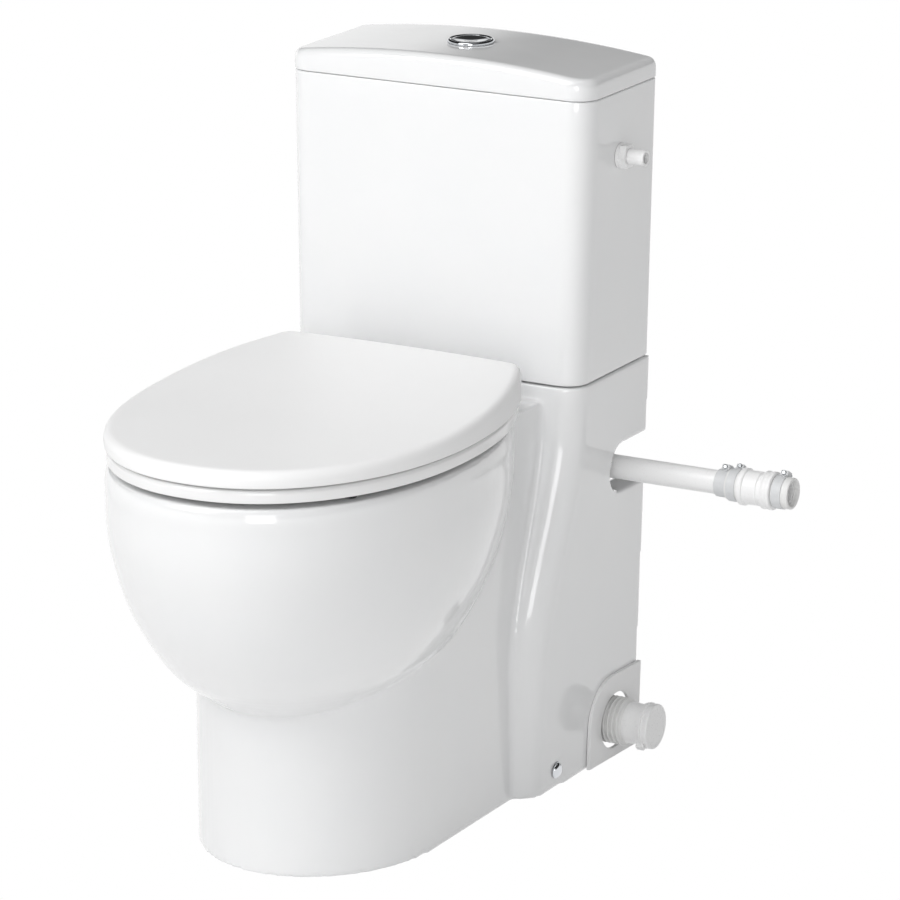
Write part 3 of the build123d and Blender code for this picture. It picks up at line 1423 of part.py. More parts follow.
with BuildPart() as pump_impeller:
    with BuildSketch(Plane.XY.offset(impeller_foot)):
        with Locations(motor_centre):
            Circle(impeller_radius)
    extrude(amount=impeller_plate)
    with BuildSketch(Plane.XY.offset(impeller_foot)):
        with Locations(motor_centre):
            Circle(impeller_hub_radius)
    extrude(amount=impeller_plate + impeller_vane_height)
    with BuildSketch(Plane.XY.offset(impeller_foot)):
        with Locations(motor_centre):
            with PolarLocations(0, impeller_vane_count):
                add(vane.sketch)
    extrude(amount=impeller_plate + impeller_vane_height)
    with BuildSketch(Plane.XY.offset(impeller_foot)):
        with Locations(motor_centre):
            Circle(shaft_radius)
    extrude(amount=impeller_plate + impeller_vane_height, mode=Mode.SUBTRACT)

pump_middle = pump_foot + pump_height / 2
with BuildPart() as pump_volute:
    with BuildSketch(Plane.XY.offset(pump_foot)):
        with Locations(motor_centre):
            Circle(pump_radius)
        with Locations(riser_centre):
            Circle(pipe_radius + socket_wall)
    extrude(amount=pump_height)
    with BuildSketch(Plane.YZ.offset(motor_offset)):
        with Locations((-pipe_axis_depth, pump_middle)):
            Circle(pump_outlet_radius)
    extrude(amount=riser_offset - motor_offset)
    with BuildSketch(Plane.XY.offset(pump_floor)):
        with Locations(motor_centre):
            Circle(pump_radius - pump_wall)
    extrude(amount=pump_height - 2 * pump_wall, mode=Mode.SUBTRACT)
    with BuildSketch(Plane.XY.offset(pump_floor)):
        with Locations(motor_centre):
            Circle(pump_eye_radius)
    extrude(amount=pump_height, mode=Mode.SUBTRACT)
    with BuildSketch(Plane.YZ.offset(motor_offset + pump_eye_radius)):
        with Locations((-pipe_axis_depth, pump_middle)):
            Circle(pump_outlet_radius - pipe_wall)
    extrude(amount=riser_offset - motor_offset - pump_eye_radius, mode=Mode.SUBTRACT)
    with BuildSketch(Plane.XY.offset(pump_foot + pump_height - socket_depth)):
        with Locations(riser_centre):
            Circle(pipe_radius + seal_clearance)
    extrude(amount=socket_depth, mode=Mode.SUBTRACT)
    with BuildSketch(Plane.XY.offset(pump_middle)):
        with Locations(riser_centre):
            Circle(pipe_radius - pipe_wall)
    extrude(amount=pump_height, mode=Mode.SUBTRACT)

elbow_foot = pipe_axis_height - elbow_bend_radius - socket_depth
with BuildPart() as pump_riser:
    with BuildSketch(Plane.XY.offset(pump_foot + pump_height - socket_depth)):
        with Locations(riser_centre):
            Circle(pipe_radius)
            Circle(pipe_radius - pipe_wall, mode=Mode.SUBTRACT)
    extrude(amount=elbow_foot + 2 * socket_depth - pump_foot - pump_height)

with BuildPart() as discharge_elbow:
    with BuildLine() as elbow_line:
        FilletPolyline((riser_offset, -pipe_axis_depth, elbow_foot),
                       (riser_offset, -pipe_axis_depth, pipe_axis_height),
                       (elbow_end, -pipe_axis_depth, pipe_axis_height), radius=elbow_bend_radius)
    with BuildSketch(Plane.XY.offset(elbow_foot)):
        with Locations(riser_centre):
            Circle(pipe_radius + seal_clearance + socket_wall)
            Circle(pipe_radius + seal_clearance, mode=Mode.SUBTRACT)
    sweep(path=elbow_line.line)

with BuildPart() as pressure_switch:
    for foot, size, height in ((cover_top, switch_radius, switch_height),
                               (cover_top + switch_height, switch_cap_radius, switch_cap_height)):
        with BuildSketch(Plane.XY.offset(foot)):
            with Locations((switch_offset, -switch_depth)):
                Circle(size)
        extrude(amount=height)
        fillet(pressure_switch.faces().sort_by(Axis.Z)[-1].edges(), switch_height / 8)

with BuildPart() as pan_connector:
    with BuildSketch(Plane.XZ.offset(boot_back)):
        with Locations((0, outlet_height)):
            Circle(outlet_outer / 2 + soft_clearance + boot_wall)
            Circle(outlet_outer / 2 + soft_clearance, mode=Mode.SUBTRACT)
    extrude(amount=boot_front - boot_back)
    fillet(pan_connector.faces().filter_by(Axis.Y).edges().group_by(SortBy.RADIUS)[-1], boot_wall / 3)


# Discharge pipe and valve, turned about one line through the notch
discharge_axis = Axis((0, -pipe_axis_depth, pipe_axis_height), (1, 0, 0))


def turned_form(stations):
    """Solid of revolution about the discharge line, from (along, radius) stations of its section."""
    with BuildPart() as form:
        with BuildSketch(Plane.XZ.offset(pipe_axis_depth)):
            with BuildLine():
                Polyline(*[(along, pipe_axis_height + radius) for along, radius in stations], close=True)
            make_face()
        revolve(axis=discharge_axis)
    return form


pipe_inner = pipe_radius - pipe_wall
sleeve_inner = pipe_radius + seal_clearance
discharge_pipe = turned_form([(pipe_start, pipe_inner), (pipe_end, pipe_inner), (pipe_end, pipe_radius),
                              (pipe_start, pipe_radius)])
coupling_sleeve = turned_form([(sleeve_start, sleeve_inner), (sleeve_end, sleeve_inner),
                               (sleeve_end, sleeve_radius), (sleeve_step, sleeve_radius),
                               (sleeve_step, sleeve_cuff_radius), (sleeve_start, sleeve_cuff_radius)])
spigot_inner = valve_spigot_bore / 2
flap_pin_x = valve_seat_face + flap_eye_radius + 2 * soft_clearance
flap_pin_z = pipe_axis_height + flap_pin_rise
with BuildPart() as discharge_valve:
    add(turned_form([
        (valve_start, pipe_inner), (valve_seat_face - flap_thickness, pipe_inner),
        (valve_seat_face - flap_thickness, valve_seat_bore / 2), (valve_seat_face, valve_seat_bore / 2),
        (valve_seat_face, valve_chamber_radius), (valve_chamber_end, valve_chamber_radius),
        (valve_chamber_end, spigot_inner), (valve_spigot_end, spigot_inner),
        (valve_spigot_end, valve_spigot_radius), (valve_rear_collar_end, valve_spigot_radius),
        (valve_rear_collar_end, valve_rear_collar_radius), (valve_groove_end, valve_rear_collar_radius),
        (valve_groove_end, valve_groove_radius), (valve_groove_start, valve_groove_radius),
        (valve_groove_start, valve_body_radius), (valve_collar_end, valve_body_radius),
        (valve_collar_end, valve_collar_radius), (valve_collar_start, valve_collar_radius),
        (valve_collar_start, pipe_radius), (valve_start, pipe_radius),
    ]).part)
    collar_edges = discharge_valve.edges().filter_by(GeomType.CIRCLE).group_by(SortBy.RADIUS)[-2:]
    fillet(collar_edges[0] + collar_edges[1], flap_thickness / 2)
    with BuildSketch(Plane.XZ.offset(pipe_axis_depth - flap_pin_half_length - flap_pin_radius)):
        with Locations((flap_pin_x, flap_pin_z)):
            Circle(flap_pin_radius + flap_pin_fit)
    extrude(amount=2 * (flap_pin_half_length + flap_pin_radius), mode=Mode.SUBTRACT)

sleeve_over = valve_spigot_radius + seal_clearance
outlet_sleeve = turned_form([
    (outlet_sleeve_start, sleeve_over), (valve_spigot_end + soft_clearance, sleeve_over),
    (valve_spigot_end + soft_clearance, outlet_sleeve_bore / 2), (outlet_sleeve_end, outlet_sleeve_bore / 2),
    (outlet_sleeve_end, outlet_sleeve_radius), (outlet_sleeve_start, outlet_sleeve_radius),
])

# Flap that closes toward the pump, hanging from a pin across the chamber
with BuildPart() as nonreturn_flap:
    with BuildSketch(Plane.YZ.offset(valve_seat_face + soft_clearance)):
        with Locations((-pipe_axis_depth, pipe_axis_height)):
            Circle(flap_radius)
    extrude(amount=flap_thickness)
    with BuildSketch(Plane.XZ.offset(pipe_axis_depth - flap_lug_width / 2)):
        with Locations((flap_pin_x, flap_pin_z)):
            Circle(flap_eye_radius)
        with Locations((valve_seat_face + soft_clearance + flap_thickness / 2,
                        flap_pin_z - flap_eye_radius)):
            Rectangle(flap_thickness, 2 * flap_eye_radius)
    extrude(amount=flap_lug_width)
    with BuildSketch(Plane.XZ.offset(pipe_axis_depth - flap_lug_width)):
        with Locations((flap_pin_x, flap_pin_z)):
            Circle(flap_pin_radius + flap_pin_fit)
    extrude(amount=2 * flap_lug_width, mode=Mode.SUBTRACT)

with BuildPart() as flap_pin:
    with BuildSketch(Plane.XZ.offset(pipe_axis_depth - flap_pin_half_length)):
        with Locations((flap_pin_x, flap_pin_z)):
            Circle(flap_pin_radius)
    extrude(amount=2 * flap_pin_half_length)

# Worm-drive hose clips: bands with their screw housings, and the screws across them
clip_radii = (sleeve_cuff_radius, sleeve_radius, outlet_sleeve_radius)


def clip_form(start, width, radius):
    """Clip band with its screw housing upright over the pipe."""
    band_radius = radius + hinge_fit
    with BuildPart() as clip:
        with BuildSketch(Plane.YZ.offset(start)):
            with Locations((-pipe_axis_depth, pipe_axis_height)):
                Circle(band_radius + clip_band)
        extrude(amount=width)
        with BuildSketch(Plane.YZ.offset(start + (width - clip_housing_width) / 2)):
            with Locations((-pipe_axis_depth, pipe_axis_height + band_radius + clip_housing_height / 2)):
                Rectangle(clip_housing_length, clip_housing_height)
        extrude(amount=clip_housing_width)
        fillet(clip.edges().filter_by(Axis.X).sort_by(Axis.Z)[-2:], clip_housing_height / 3)
        with BuildSketch(Plane.YZ.offset(start)):
            with Locations((-pipe_axis_depth, pipe_axis_height)):
                Circle(band_radius)
        extrude(amount=width, mode=Mode.SUBTRACT)
        with BuildSketch(Plane.XZ.offset(pipe_axis_depth - clip_housing_length)):
            with Locations((start + width / 2, pipe_axis_height + band_radius + clip_housing_height / 2)):
                Circle(clip_screw_radius + hinge_fit)
        extrude(amount=2 * clip_housing_length, mode=Mode.SUBTRACT)
    return clip.part


def clip_screw_form(start, width, radius):
    """Screw of a clip with its round slotted head at the rear."""
    height = pipe_axis_height + radius + hinge_fit + clip_housing_height / 2
    with BuildPart() as screw:
        with BuildSketch(Plane.XZ.offset(pipe_axis_depth - clip_screw_length / 2)):
            with Locations((start + width / 2, height)):
                Circle(clip_screw_radius)
        extrude(amount=clip_screw_length)
        with BuildSketch(Plane.XZ.offset(pipe_axis_depth - clip_screw_length / 2 - clip_head_length)):
            with Locations((start + width / 2, height)):
                Circle(clip_head_radius)
                Rectangle(clip_head_radius, clip_band, mode=Mode.SUBTRACT)
        extrude(amount=clip_head_length)
    return screw.part


with BuildPart() as hose_clips:
    for start, width, radius, angle in zip(clip_starts, clip_widths, clip_radii, clip_angles):
        add(clip_form(start, width, radius).rotate(discharge_axis, -angle))

with BuildPart() as clip_screws:
    for start, width, radius, angle in zip(clip_starts, clip_widths, clip_radii, clip_angles):
        add(clip_screw_form(start, width, radius).rotate(discharge_axis, -angle))


# Low inlet: bellows on the casing spigot, fitting in its end, cap and cover plate
inlet_axis = Axis((0, -inlet_axis_depth, inlet_axis_height), (1, 0, 0))
bellows_inner = bellows_bore / 2


def inlet_disc(along, radius):
    """Circle across the inlet line."""
    with BuildSketch(Plane.YZ.offset(along)) as disc:
        with Locations((-inlet_axis_depth, inlet_axis_height)):
            Circle(radius)
    return disc.sketch


with BuildPart() as inlet_bellows:
    add(inlet_disc(bellows_start, bellows_root_radius))
    extrude(amount=bellows_end - bellows_start, dir=(1, 0, 0))
    flank = bellows_pitch * bellows_crest_share
    for rib in range(bellows_rib_count):
        rib_start = bellows_first_rib + rib * bellows_pitch
        rib_end = rib_start + bellows_pitch - flank / 2
        loft(sections=[
            inlet_disc(rib_start, bellows_root_radius), inlet_disc(rib_start + flank, bellows_crest_radius),
            inlet_disc(rib_end - flank, bellows_crest_radius), inlet_disc(rib_end, bellows_root_radius),
        ], ruled=True)
    add(inlet_disc(bellows_start, bellows_inner))
    extrude(amount=bellows_end - bellows_start, dir=(1, 0, 0), mode=Mode.SUBTRACT)


def inlet_turned(stations):
    """Solid of revolution about the inlet line, from (along, radius) stations of its section."""
    with BuildPart() as form:
        with BuildSketch(Plane.XZ.offset(inlet_axis_depth)):
            with BuildLine():
                Polyline(*[(along, inlet_axis_height + radius) for along, radius in stations], close=True)
            make_face()
        revolve(axis=inlet_axis)
    return form.part


fitting_insert = bellows_inner - soft_clearance
fitting_bore = fitting_insert - cap_plug_wall
with BuildPart() as inlet_fitting:
    add(inlet_turned([
        (bellows_end - inlet_tail_insert, fitting_bore), (inlet_collar_end, fitting_bore),
        (inlet_collar_end, inlet_collar_radius - inlet_collar_step / 2),
        (inlet_collar_end - inlet_collar_step, inlet_collar_radius - inlet_collar_step / 2),
        (inlet_collar_end - inlet_collar_step, inlet_collar_radius),
        (inlet_fitting_neck_end + inlet_collar_step, inlet_collar_radius),
        (inlet_fitting_neck_end + inlet_collar_step, inlet_collar_radius - inlet_collar_step / 4),
        (inlet_fitting_neck_end, inlet_collar_radius - inlet_collar_step / 4),
        (inlet_fitting_neck_end, inlet_fitting_taper), (bellows_end + soft_clearance, inlet_fitting_radius),
        (bellows_end + soft_clearance, fitting_insert), (bellows_end - inlet_tail_insert, fitting_insert),
    ]))
    with BuildSketch(Plane.YZ.offset(inlet_fitting_neck_end)):
        with Locations((-inlet_axis_depth, inlet_axis_height)):
            with Locations(Location((0, 0), -half_turn * 3 / 4)):
                with Locations((inlet_collar_radius + inlet_lug_height / 6, 0)):
                    Rectangle(inlet_lug_height, inlet_lug_width)
    extrude(amount=inlet_collar_end - inlet_fitting_neck_end)
    add(inlet_turned([(bellows_end, 0), (inlet_collar_end, 0), (inlet_collar_end, fitting_bore),
                      (bellows_end, fitting_bore)]), mode=Mode.SUBTRACT)

plug_radius = fitting_bore - seal_clearance
with BuildPart() as blanking_cap:
    add(inlet_turned([
        (inlet_collar_end + soft_clearance, 0), (cap_disc_end, 0), (cap_disc_end, cap_disc_radius),
        (inlet_collar_end + soft_clearance, cap_disc_radius),
        (inlet_collar_end + soft_clearance, plug_radius),
        (inlet_collar_end - cap_plug_length, plug_radius),
        (inlet_collar_end - cap_plug_length, plug_radius - cap_plug_wall),
        (inlet_collar_end + soft_clearance, plug_radius - cap_plug_wall),
    ]))
    fillet(blanking_cap.faces().sort_by(Axis.X)[-1].edges(), cap_plug_wall / 2)

with BuildPart() as side_plate:
    with BuildSketch(plate_plane):
        with BuildLine():
            Polyline((-plate_depth, plate_gap), (0, plate_gap), (0, plate_height),
                     (-plate_depth, plate_height), close=True)
        make_face()
        fillet(vertices().group_by(Axis.X)[0].sort_by(Axis.Y)[-1:], plate_corner_radius)
        with Locations((-inlet_axis_depth, inlet_axis_height)):
            Circle(plate_hole_radius, mode=Mode.SUBTRACT)
    extrude(amount=plate_thickness)
    with BuildSketch(plate_plane):
        with Locations(*plate_screw_places):
            Circle(plate_screw_radius + hinge_fit)
    extrude(amount=plate_screw_bite + soft_clearance, mode=Mode.SUBTRACT)
    # two small holes in its top edge, above the screws
    with BuildSketch(Plane.XY.offset(plate_height - plate_peg_depth)):
        for depth in plate_screw_depths:
            with Locations((column_side(depth, plate_height) + plate_gap + plate_thickness / 2, -depth)):
                Circle(plate_peg_radius)
    extrude(amount=plate_peg_depth + overrun, mode=Mode.SUBTRACT)

# Floor brackets inside the column, their screws, and the chrome caps outside
bracket_outer_x = column_side(bracket_depth + bracket_width / 2, 0) - column_wall - bracket_gap
with BuildPart() as floor_brackets:
    with BuildSketch(Plane.XZ.offset(bracket_depth - bracket_width / 2)):
        with BuildLine():
            inner_x = bracket_outer_x - bracket_foot
            Polyline((inner_x, 0), (bracket_outer_x, 0), (bracket_outer_x, bracket_height),
                     (bracket_outer_x - bracket_thickness, bracket_height),
                     (bracket_outer_x - bracket_thickness, bracket_thickness), (inner_x, bracket_thickness),
                     close=True)
        make_face()
    extrude(amount=bracket_width)
    fillet(floor_brackets.edges().filter_by(Axis.X).sort_by(Axis.Z)[-2:], bracket_thickness)
    floor_screw_x = bracket_outer_x - bracket_thickness - (bracket_foot - bracket_thickness) / 2
    with BuildSketch(Plane.XY):
        with Locations((floor_screw_x, -bracket_depth)):
            Circle(floor_screw_radius + hinge_fit)
    extrude(amount=bracket_thickness, mode=Mode.SUBTRACT)
    with BuildSketch(Plane.YZ.offset(bracket_outer_x - bracket_thickness)):
        with Locations((-bracket_depth, bracket_screw_height)):
            Circle(bracket_screw_radius + hinge_fit)
    extrude(amount=bracket_thickness, mode=Mode.SUBTRACT)
    mirror(about=Plane.YZ)

with BuildPart() as floor_screws:
    with BuildSketch(Plane.XY):
        with Locations((floor_screw_x, -bracket_depth)):
            Circle(floor_screw_radius)
    extrude(amount=bracket_thickness)
    with BuildSketch(Plane.XY.offset(bracket_thickness)):
        with Locations((floor_screw_x, -bracket_depth)):
            RegularPolygon(bracket_screw_head_radius, 6)
    extrude(amount=bracket_thickness)
    mirror(about=Plane.YZ)

head_x = column_side(bracket_depth, bracket_screw_height) + screw_clearance + soft_clearance
with BuildPart() as wall_screws:
    with BuildSketch(Plane.YZ.offset(head_x - bracket_screw_length)):
        with Locations((-bracket_depth, bracket_screw_height)):
            Circle(bracket_screw_radius)
    extrude(amount=bracket_screw_length)
    with BuildSketch(Plane.YZ.offset(head_x)):
        with Locations((-bracket_depth, bracket_screw_height)):
            Circle(bracket_screw_head_radius)
    extrude(amount=bracket_screw_head_height)
    mirror(about=Plane.YZ)
    shank_length = plate_gap + column_wall + soft_clearance
    with BuildSketch(plate_plane.offset(-shank_length)):
        with Locations(*plate_screw_places):
            Circle(plate_screw_radius)
    extrude(amount=shank_length + plate_screw_bite)
    with BuildSketch(plate_plane.offset(-shank_length - plate_screw_head_height)):
        with Locations(*plate_screw_places):
            Circle(plate_screw_head_radius)
    extrude(amount=plate_screw_head_height)

with BuildPart() as screw_caps:
    with BuildSketch(Plane.YZ.offset(head_x)):
        with Locations((-bracket_depth, bracket_screw_height)):
            Circle(screw_cap_radius)
    extrude(amount=screw_cap_height)
    fillet(screw_caps.faces().sort_by(Axis.X)[-1].edges(), screw_cap_height - screw_cap_wall / 2)
    with BuildSketch(Plane.YZ.offset(head_x)):
        with Locations((-bracket_depth, bracket_screw_height)):
            Circle(bracket_screw_head_radius + soft_clearance)
    extrude(amount=bracket_screw_head_height + soft_clearance, mode=Mode.SUBTRACT)
    mirror(about=Plane.YZ)


# Every piece as a file of its own, named after its node
pieces = {
    "pan": pan,
    "cistern": cistern,
    "cistern_lid": cistern_lid,
    "button_bezel": button_bezel,
    "bezel_nut": bezel_nut,
    "full_flush_button": full_flush_button,
    "half_flush_button": half_flush_button,
    "flush_valve_base": flush_valve_base,
    "flush_valve_tower": flush_valve_tower,
    "overflow_tube": overflow_tube,
    "flush_seal": flush_seal,
    "flush_valve_nut": flush_valve_nut,
    "cistern_gasket": cistern_gasket,
    "cistern_washers": cistern_washers,
    "cistern_bolts": cistern_bolts,
    "wing_nuts": wing_nuts,
    "fill_valve_body": fill_valve_body,
    "fill_valve_float": fill_valve_float,
    "inlet_nut": inlet_nut,
    "seat_ring": seat_ring,
    "seat_lid": seat_lid,
    "seat_buffers": seat_buffers,
    "lid_buffers": lid_buffers,
    "hinge_posts": hinge_posts,
    "hinge_pins": hinge_pins,
    "hinge_bolts": hinge_bolts,
    "hinge_nuts": hinge_nuts,
    "macerator_casing": macerator_casing,
    "macerator_cover": macerator_cover,
    "cover_screws": cover_screws,
    "motor_housing": motor_housing,
    "cable_gland": cable_gland,
    "motor_stator": motor_stator,
    "motor_bearings": motor_bearings,
    "shaft_seal": shaft_seal,
    "rotor_shaft": rotor_shaft,
    "grinder_blade": grinder_blade,
    "cutter_basket": cutter_basket,
    "pump_impeller": pump_impeller,
    "pump_volute": pump_volute,
    "pump_riser": pump_riser,
    "discharge_elbow": discharge_elbow,
    "pressure_switch": pressure_switch,
    "pan_connector": pan_connector,
    "discharge_pipe": discharge_pipe,
    "coupling_sleeve": coupling_sleeve,
    "discharge_valve": discharge_valve,
    "outlet_sleeve": outlet_sleeve,
    "nonreturn_flap": nonreturn_flap,
    "flap_pin": flap_pin,
    "hose_clips": hose_clips,
    "clip_screws": clip_screws,
    "inlet_bellows": inlet_bellows,
    "inlet_fitting": inlet_fitting,
    "blanking_cap": blanking_cap,
    "side_plate": side_plate,
    "wall_screws": wall_screws,
    "floor_brackets": floor_brackets,
    "floor_screws": floor_screws,
    "screw_caps": screw_caps,
}
for piece_name, piece in pieces.items():
    piece.part.label = piece_name
    export_step(piece.part, f"parts/{piece_name}.step")
    print(piece_name, round(piece.part.volume), piece.part.is_valid, len(piece.part.solids()))
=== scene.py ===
"""Dressed model of a floor-standing toilet whose rear column holds a macerator.

The china, the seat, the flush buttons, the screw caps and the fittings on the right are built
here as fine meshes. The works inside the cistern and the column keep their own solids and get
their finish.
Lengths of the pieces are in millimetres and become metres where a mesh is made.
"""

import logging
import math
from dataclasses import dataclass, field
from enum import Enum

import bmesh
import bpy
import numpy as np
from mathutils import Matrix, Vector


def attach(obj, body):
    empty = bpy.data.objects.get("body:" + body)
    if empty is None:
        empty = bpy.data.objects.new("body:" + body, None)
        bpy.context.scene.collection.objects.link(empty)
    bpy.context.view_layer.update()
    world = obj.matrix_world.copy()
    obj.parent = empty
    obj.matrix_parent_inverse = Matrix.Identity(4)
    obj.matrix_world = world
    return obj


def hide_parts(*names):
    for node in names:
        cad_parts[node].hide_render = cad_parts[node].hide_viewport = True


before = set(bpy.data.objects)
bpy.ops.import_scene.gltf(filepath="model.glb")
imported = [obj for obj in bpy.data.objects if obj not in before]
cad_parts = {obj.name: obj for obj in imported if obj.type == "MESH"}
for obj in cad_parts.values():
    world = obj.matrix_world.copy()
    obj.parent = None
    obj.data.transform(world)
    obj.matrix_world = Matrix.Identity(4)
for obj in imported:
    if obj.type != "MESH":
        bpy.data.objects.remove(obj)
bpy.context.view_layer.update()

LOG = logging.getLogger("toilet")
MM = 0.001
AXIS = 0.01  # Radius in millimetres that stands for the axis, where a turned section closes.
Point = tuple[float, float, float]
Pair = tuple[float, float]


def linear(code: str) -> tuple[float, float, float, float]:
    """Turn an sRGB hex colour into linear RGBA.

    Args:
        code: Six hex digits with a leading #.

    Returns:
        Linear red, green and blue with an alpha of one.
    """
    parts = [int(code[i:i + 2], 16) / 255 for i in (1, 3, 5)]
    low = [p / 12.92 if p <= 0.04045 else ((p + 0.055) / 1.055) ** 2.4 for p in parts]
    return low[0], low[1], low[2], 1.0


def add_node(tree: bpy.types.NodeTree, kind: str, inputs: dict | None = None, **settings: object) -> bpy.types.Node:
    """Add a shader node with its settings, input values and links.

    Args:
        tree: Node tree that receives the node.
        kind: Blender's name of the node type.
        inputs: Values or output sockets, by input name or number.
        settings: Attributes to set on the node itself.

    Returns:
        The new node.
    """
    node = tree.nodes.new(kind)
    for name, value in settings.items():
        setattr(node, name, value)
    for name, value in (inputs or {}).items():
        if isinstance(value, bpy.types.NodeSocket):
            tree.links.new(value, node.inputs[name])
        else:
            node.inputs[name].default_value = value
    return node


def fresh_tree(owner: bpy.types.Material | bpy.types.World) -> bpy.types.NodeTree:
    """Return the emptied node tree of a material or of the world."""
    owner.use_nodes = True
    owner.node_tree.nodes.clear()
    return owner.node_tree


def seen_by(tree: bpy.types.NodeTree, *rays: str) -> bpy.types.NodeSocket:
    """Build a mask that is one for the named kinds of ray and zero for the others."""
    path = add_node(tree, "ShaderNodeLightPath").outputs
    mask = path[f"Is {rays[0]} Ray"]
    for ray in rays[1:]:
        mask = add_node(tree, "ShaderNodeMath", {0: mask, 1: path[f"Is {ray} Ray"]}, operation="MAXIMUM").outputs[0]
    return mask


def stand(name: str, data: bpy.types.ID) -> bpy.types.Object:
    """Make the object of a mesh, a camera or a lamp and link it to the scene."""
    made = bpy.data.objects.new(name, data)
    bpy.context.scene.collection.objects.link(made)
    return made


class Relief(Enum):
    """Small relief that the making of a surface leaves on it."""

    GLAZE_RIPPLE = "ripple"
    MOULD_GRAIN = "grain"
    BRUSH_LINES = "lines"
    CAST_SKIN = "skin"


@dataclass(frozen=True)
class Finish:
    """Surface of one real material, made into a node material once.

    Attributes:
        name: Common name of the material and how its surface was made.
        colour: Main sRGB colour.
        tint: Second sRGB colour that the main one drifts towards.
        drift_mm: Size of the patches of that drift.
        roughness: Lowest and highest roughness over the surface.
        relief: Kind of small relief.
        relief_mm: Spacing of the relief.
        depth_mm: Height of the relief.
        metallic: One for a metal.
        ior: Index of refraction, for what isn't a metal.
        coat: Weight of a clear skin such as fired glaze.
        coat_roughness: Roughness of that skin.
        sheen: Weight of dust-like sheen, as on rubber.
    """

    name: str
    colour: str
    tint: str
    drift_mm: float
    roughness: Pair
    relief: Relief
    relief_mm: float
    depth_mm: float
    metallic: float = 0.0
    ior: float = 1.5
    coat: float = 0.0
    coat_roughness: float = 0.03
    sheen: float = 0.0

    def material(self) -> bpy.types.Material:
        """Return the node material, building it on its first use."""
        found = bpy.data.materials.get(self.name)
        if found:
            return found
        material = bpy.data.materials.new(self.name)
        tree = fresh_tree(material)
        place = add_node(tree, "ShaderNodeTexCoord").outputs["Object"]
        drift = add_node(tree, "ShaderNodeTexNoise", {
            "Vector": place, "Scale": 1 / (self.drift_mm * MM), "Detail": 3.0, "Roughness": 0.55})
        colour = add_node(tree, "ShaderNodeMix", {
            0: drift.outputs["Fac"], 6: linear(self.colour), 7: linear(self.tint)}, data_type="RGBA")
        height = self.height(tree, place)
        low, high = self.roughness
        rough = add_node(tree, "ShaderNodeMapRange", {
            "Value": height, "From Min": 0.3, "From Max": 0.7, "To Min": low, "To Max": high})
        bump = add_node(tree, "ShaderNodeBump", {
            "Height": height, "Strength": 1.0, "Distance": self.depth_mm * MM})
        shader = add_node(tree, "ShaderNodeBsdfPrincipled", {
            "Base Color": colour.outputs[2], "Roughness": rough.outputs["Result"],
            "Normal": bump.outputs["Normal"], "Metallic": self.metallic})
        if not self.metallic:
            shader.inputs["IOR"].default_value = self.ior
        shader.inputs["Coat Weight"].default_value = self.coat
        shader.inputs["Coat Roughness"].default_value = self.coat_roughness
        shader.inputs["Sheen Weight"].default_value = self.sheen
        add_node(tree, "ShaderNodeOutputMaterial", {"Surface": shader.outputs["BSDF"]})
        material.diffuse_color = linear(self.colour)
        return material

    def height(self, tree: bpy.types.NodeTree, place: bpy.types.NodeSocket) -> bpy.types.NodeSocket:
        """Build the relief pattern.

        Args:
            tree: Node tree of the material.
            place: Coordinates on the object, in metres.

        Returns:
            A socket that runs from about 0 to 1.
        """
        scale = 1 / (self.relief_mm * MM)
        if self.relief is Relief.BRUSH_LINES:
            along = add_node(tree, "ShaderNodeMapping", {"Vector": place, "Scale": (1.0, 0.05, 0.05)})
            return add_node(tree, "ShaderNodeTexNoise", {
                "Vector": along.outputs["Vector"], "Scale": scale, "Detail": 4.0,
                "Roughness": 0.7}).outputs["Fac"]
        noise = add_node(tree, "ShaderNodeTexNoise", {
            "Vector": place, "Scale": scale, "Detail": 2.0, "Roughness": 0.45}).outputs["Fac"]
        if self.relief is Relief.CAST_SKIN:
            cells = add_node(tree, "ShaderNodeTexVoronoi", {"Vector": place, "Scale": 0.6 * scale})
            mixed = add_node(tree, "ShaderNodeMix", {0: 0.45, 2: noise, 3: cells.outputs["Distance"]})
            return mixed.outputs[0]
        return noise


# Fired glaze over vitreous china: deep, even white under a clear glassy skin that ripples very gently.
CHINA = Finish("glazed vitreous china", "#F3F3F3", "#EFF0F1", 90, (0.10, 0.16), Relief.GLAZE_RIPPLE, 34, 0.05,
               ior=1.52, coat=0.6, coat_roughness=0.02)
# Compression-moulded urea plastic of the ring: a denser white than the china, polished in the mould to wet gloss.
SEAT_PLASTIC = Finish("moulded urea seat plastic", "#F4F4F4", "#F0F0F0", 60, (0.12, 0.18), Relief.MOULD_GRAIN, 14,
                      0.02, ior=1.55, coat=0.4, coat_roughness=0.05)
# The same plastic on the lid, painted lighter than the ring's to stand for the stronger light on its top, and left
# satin, so that it shows a soft sheen and no clear reflection.
LID_PLASTIC = Finish("satin urea lid plastic", "#FBFBFB", "#F8F8F8", 60, (0.42, 0.50), Relief.MOULD_GRAIN, 14,
                     0.02, ior=1.4)
# Nickel and chrome plating polished bright: a dark mirror with hard-edged reflections.
CHROME = Finish("polished chrome plate", "#D9DBDE", "#CFD2D6", 12, (0.03, 0.07), Relief.MOULD_GRAIN, 5, 0.003,
                metallic=1.0)
# Extruded and moulded PVC: clean white, satin, with the faint drag of the die.
PVC = Finish("moulded white PVC", "#FCFCFC", "#F8F8F8", 25, (0.26, 0.36), Relief.MOULD_GRAIN, 1.6, 0.012, ior=1.53)
# Acetal and ABS inside the cistern: an off-white, waxy satin.
ACETAL = Finish("moulded acetal", "#E6E8E8", "#DCDFE0", 18, (0.34, 0.46), Relief.MOULD_GRAIN, 1.1, 0.015, ior=1.48)
# Flexible PVC of the bellows: warm white and a little duller than the rigid fittings.
SOFT_PVC = Finish("blow-moulded flexible PVC", "#F2F2F1", "#E8E8E7", 9, (0.34, 0.46), Relief.MOULD_GRAIN, 1.4, 0.02,
                  ior=1.5, sheen=0.05)
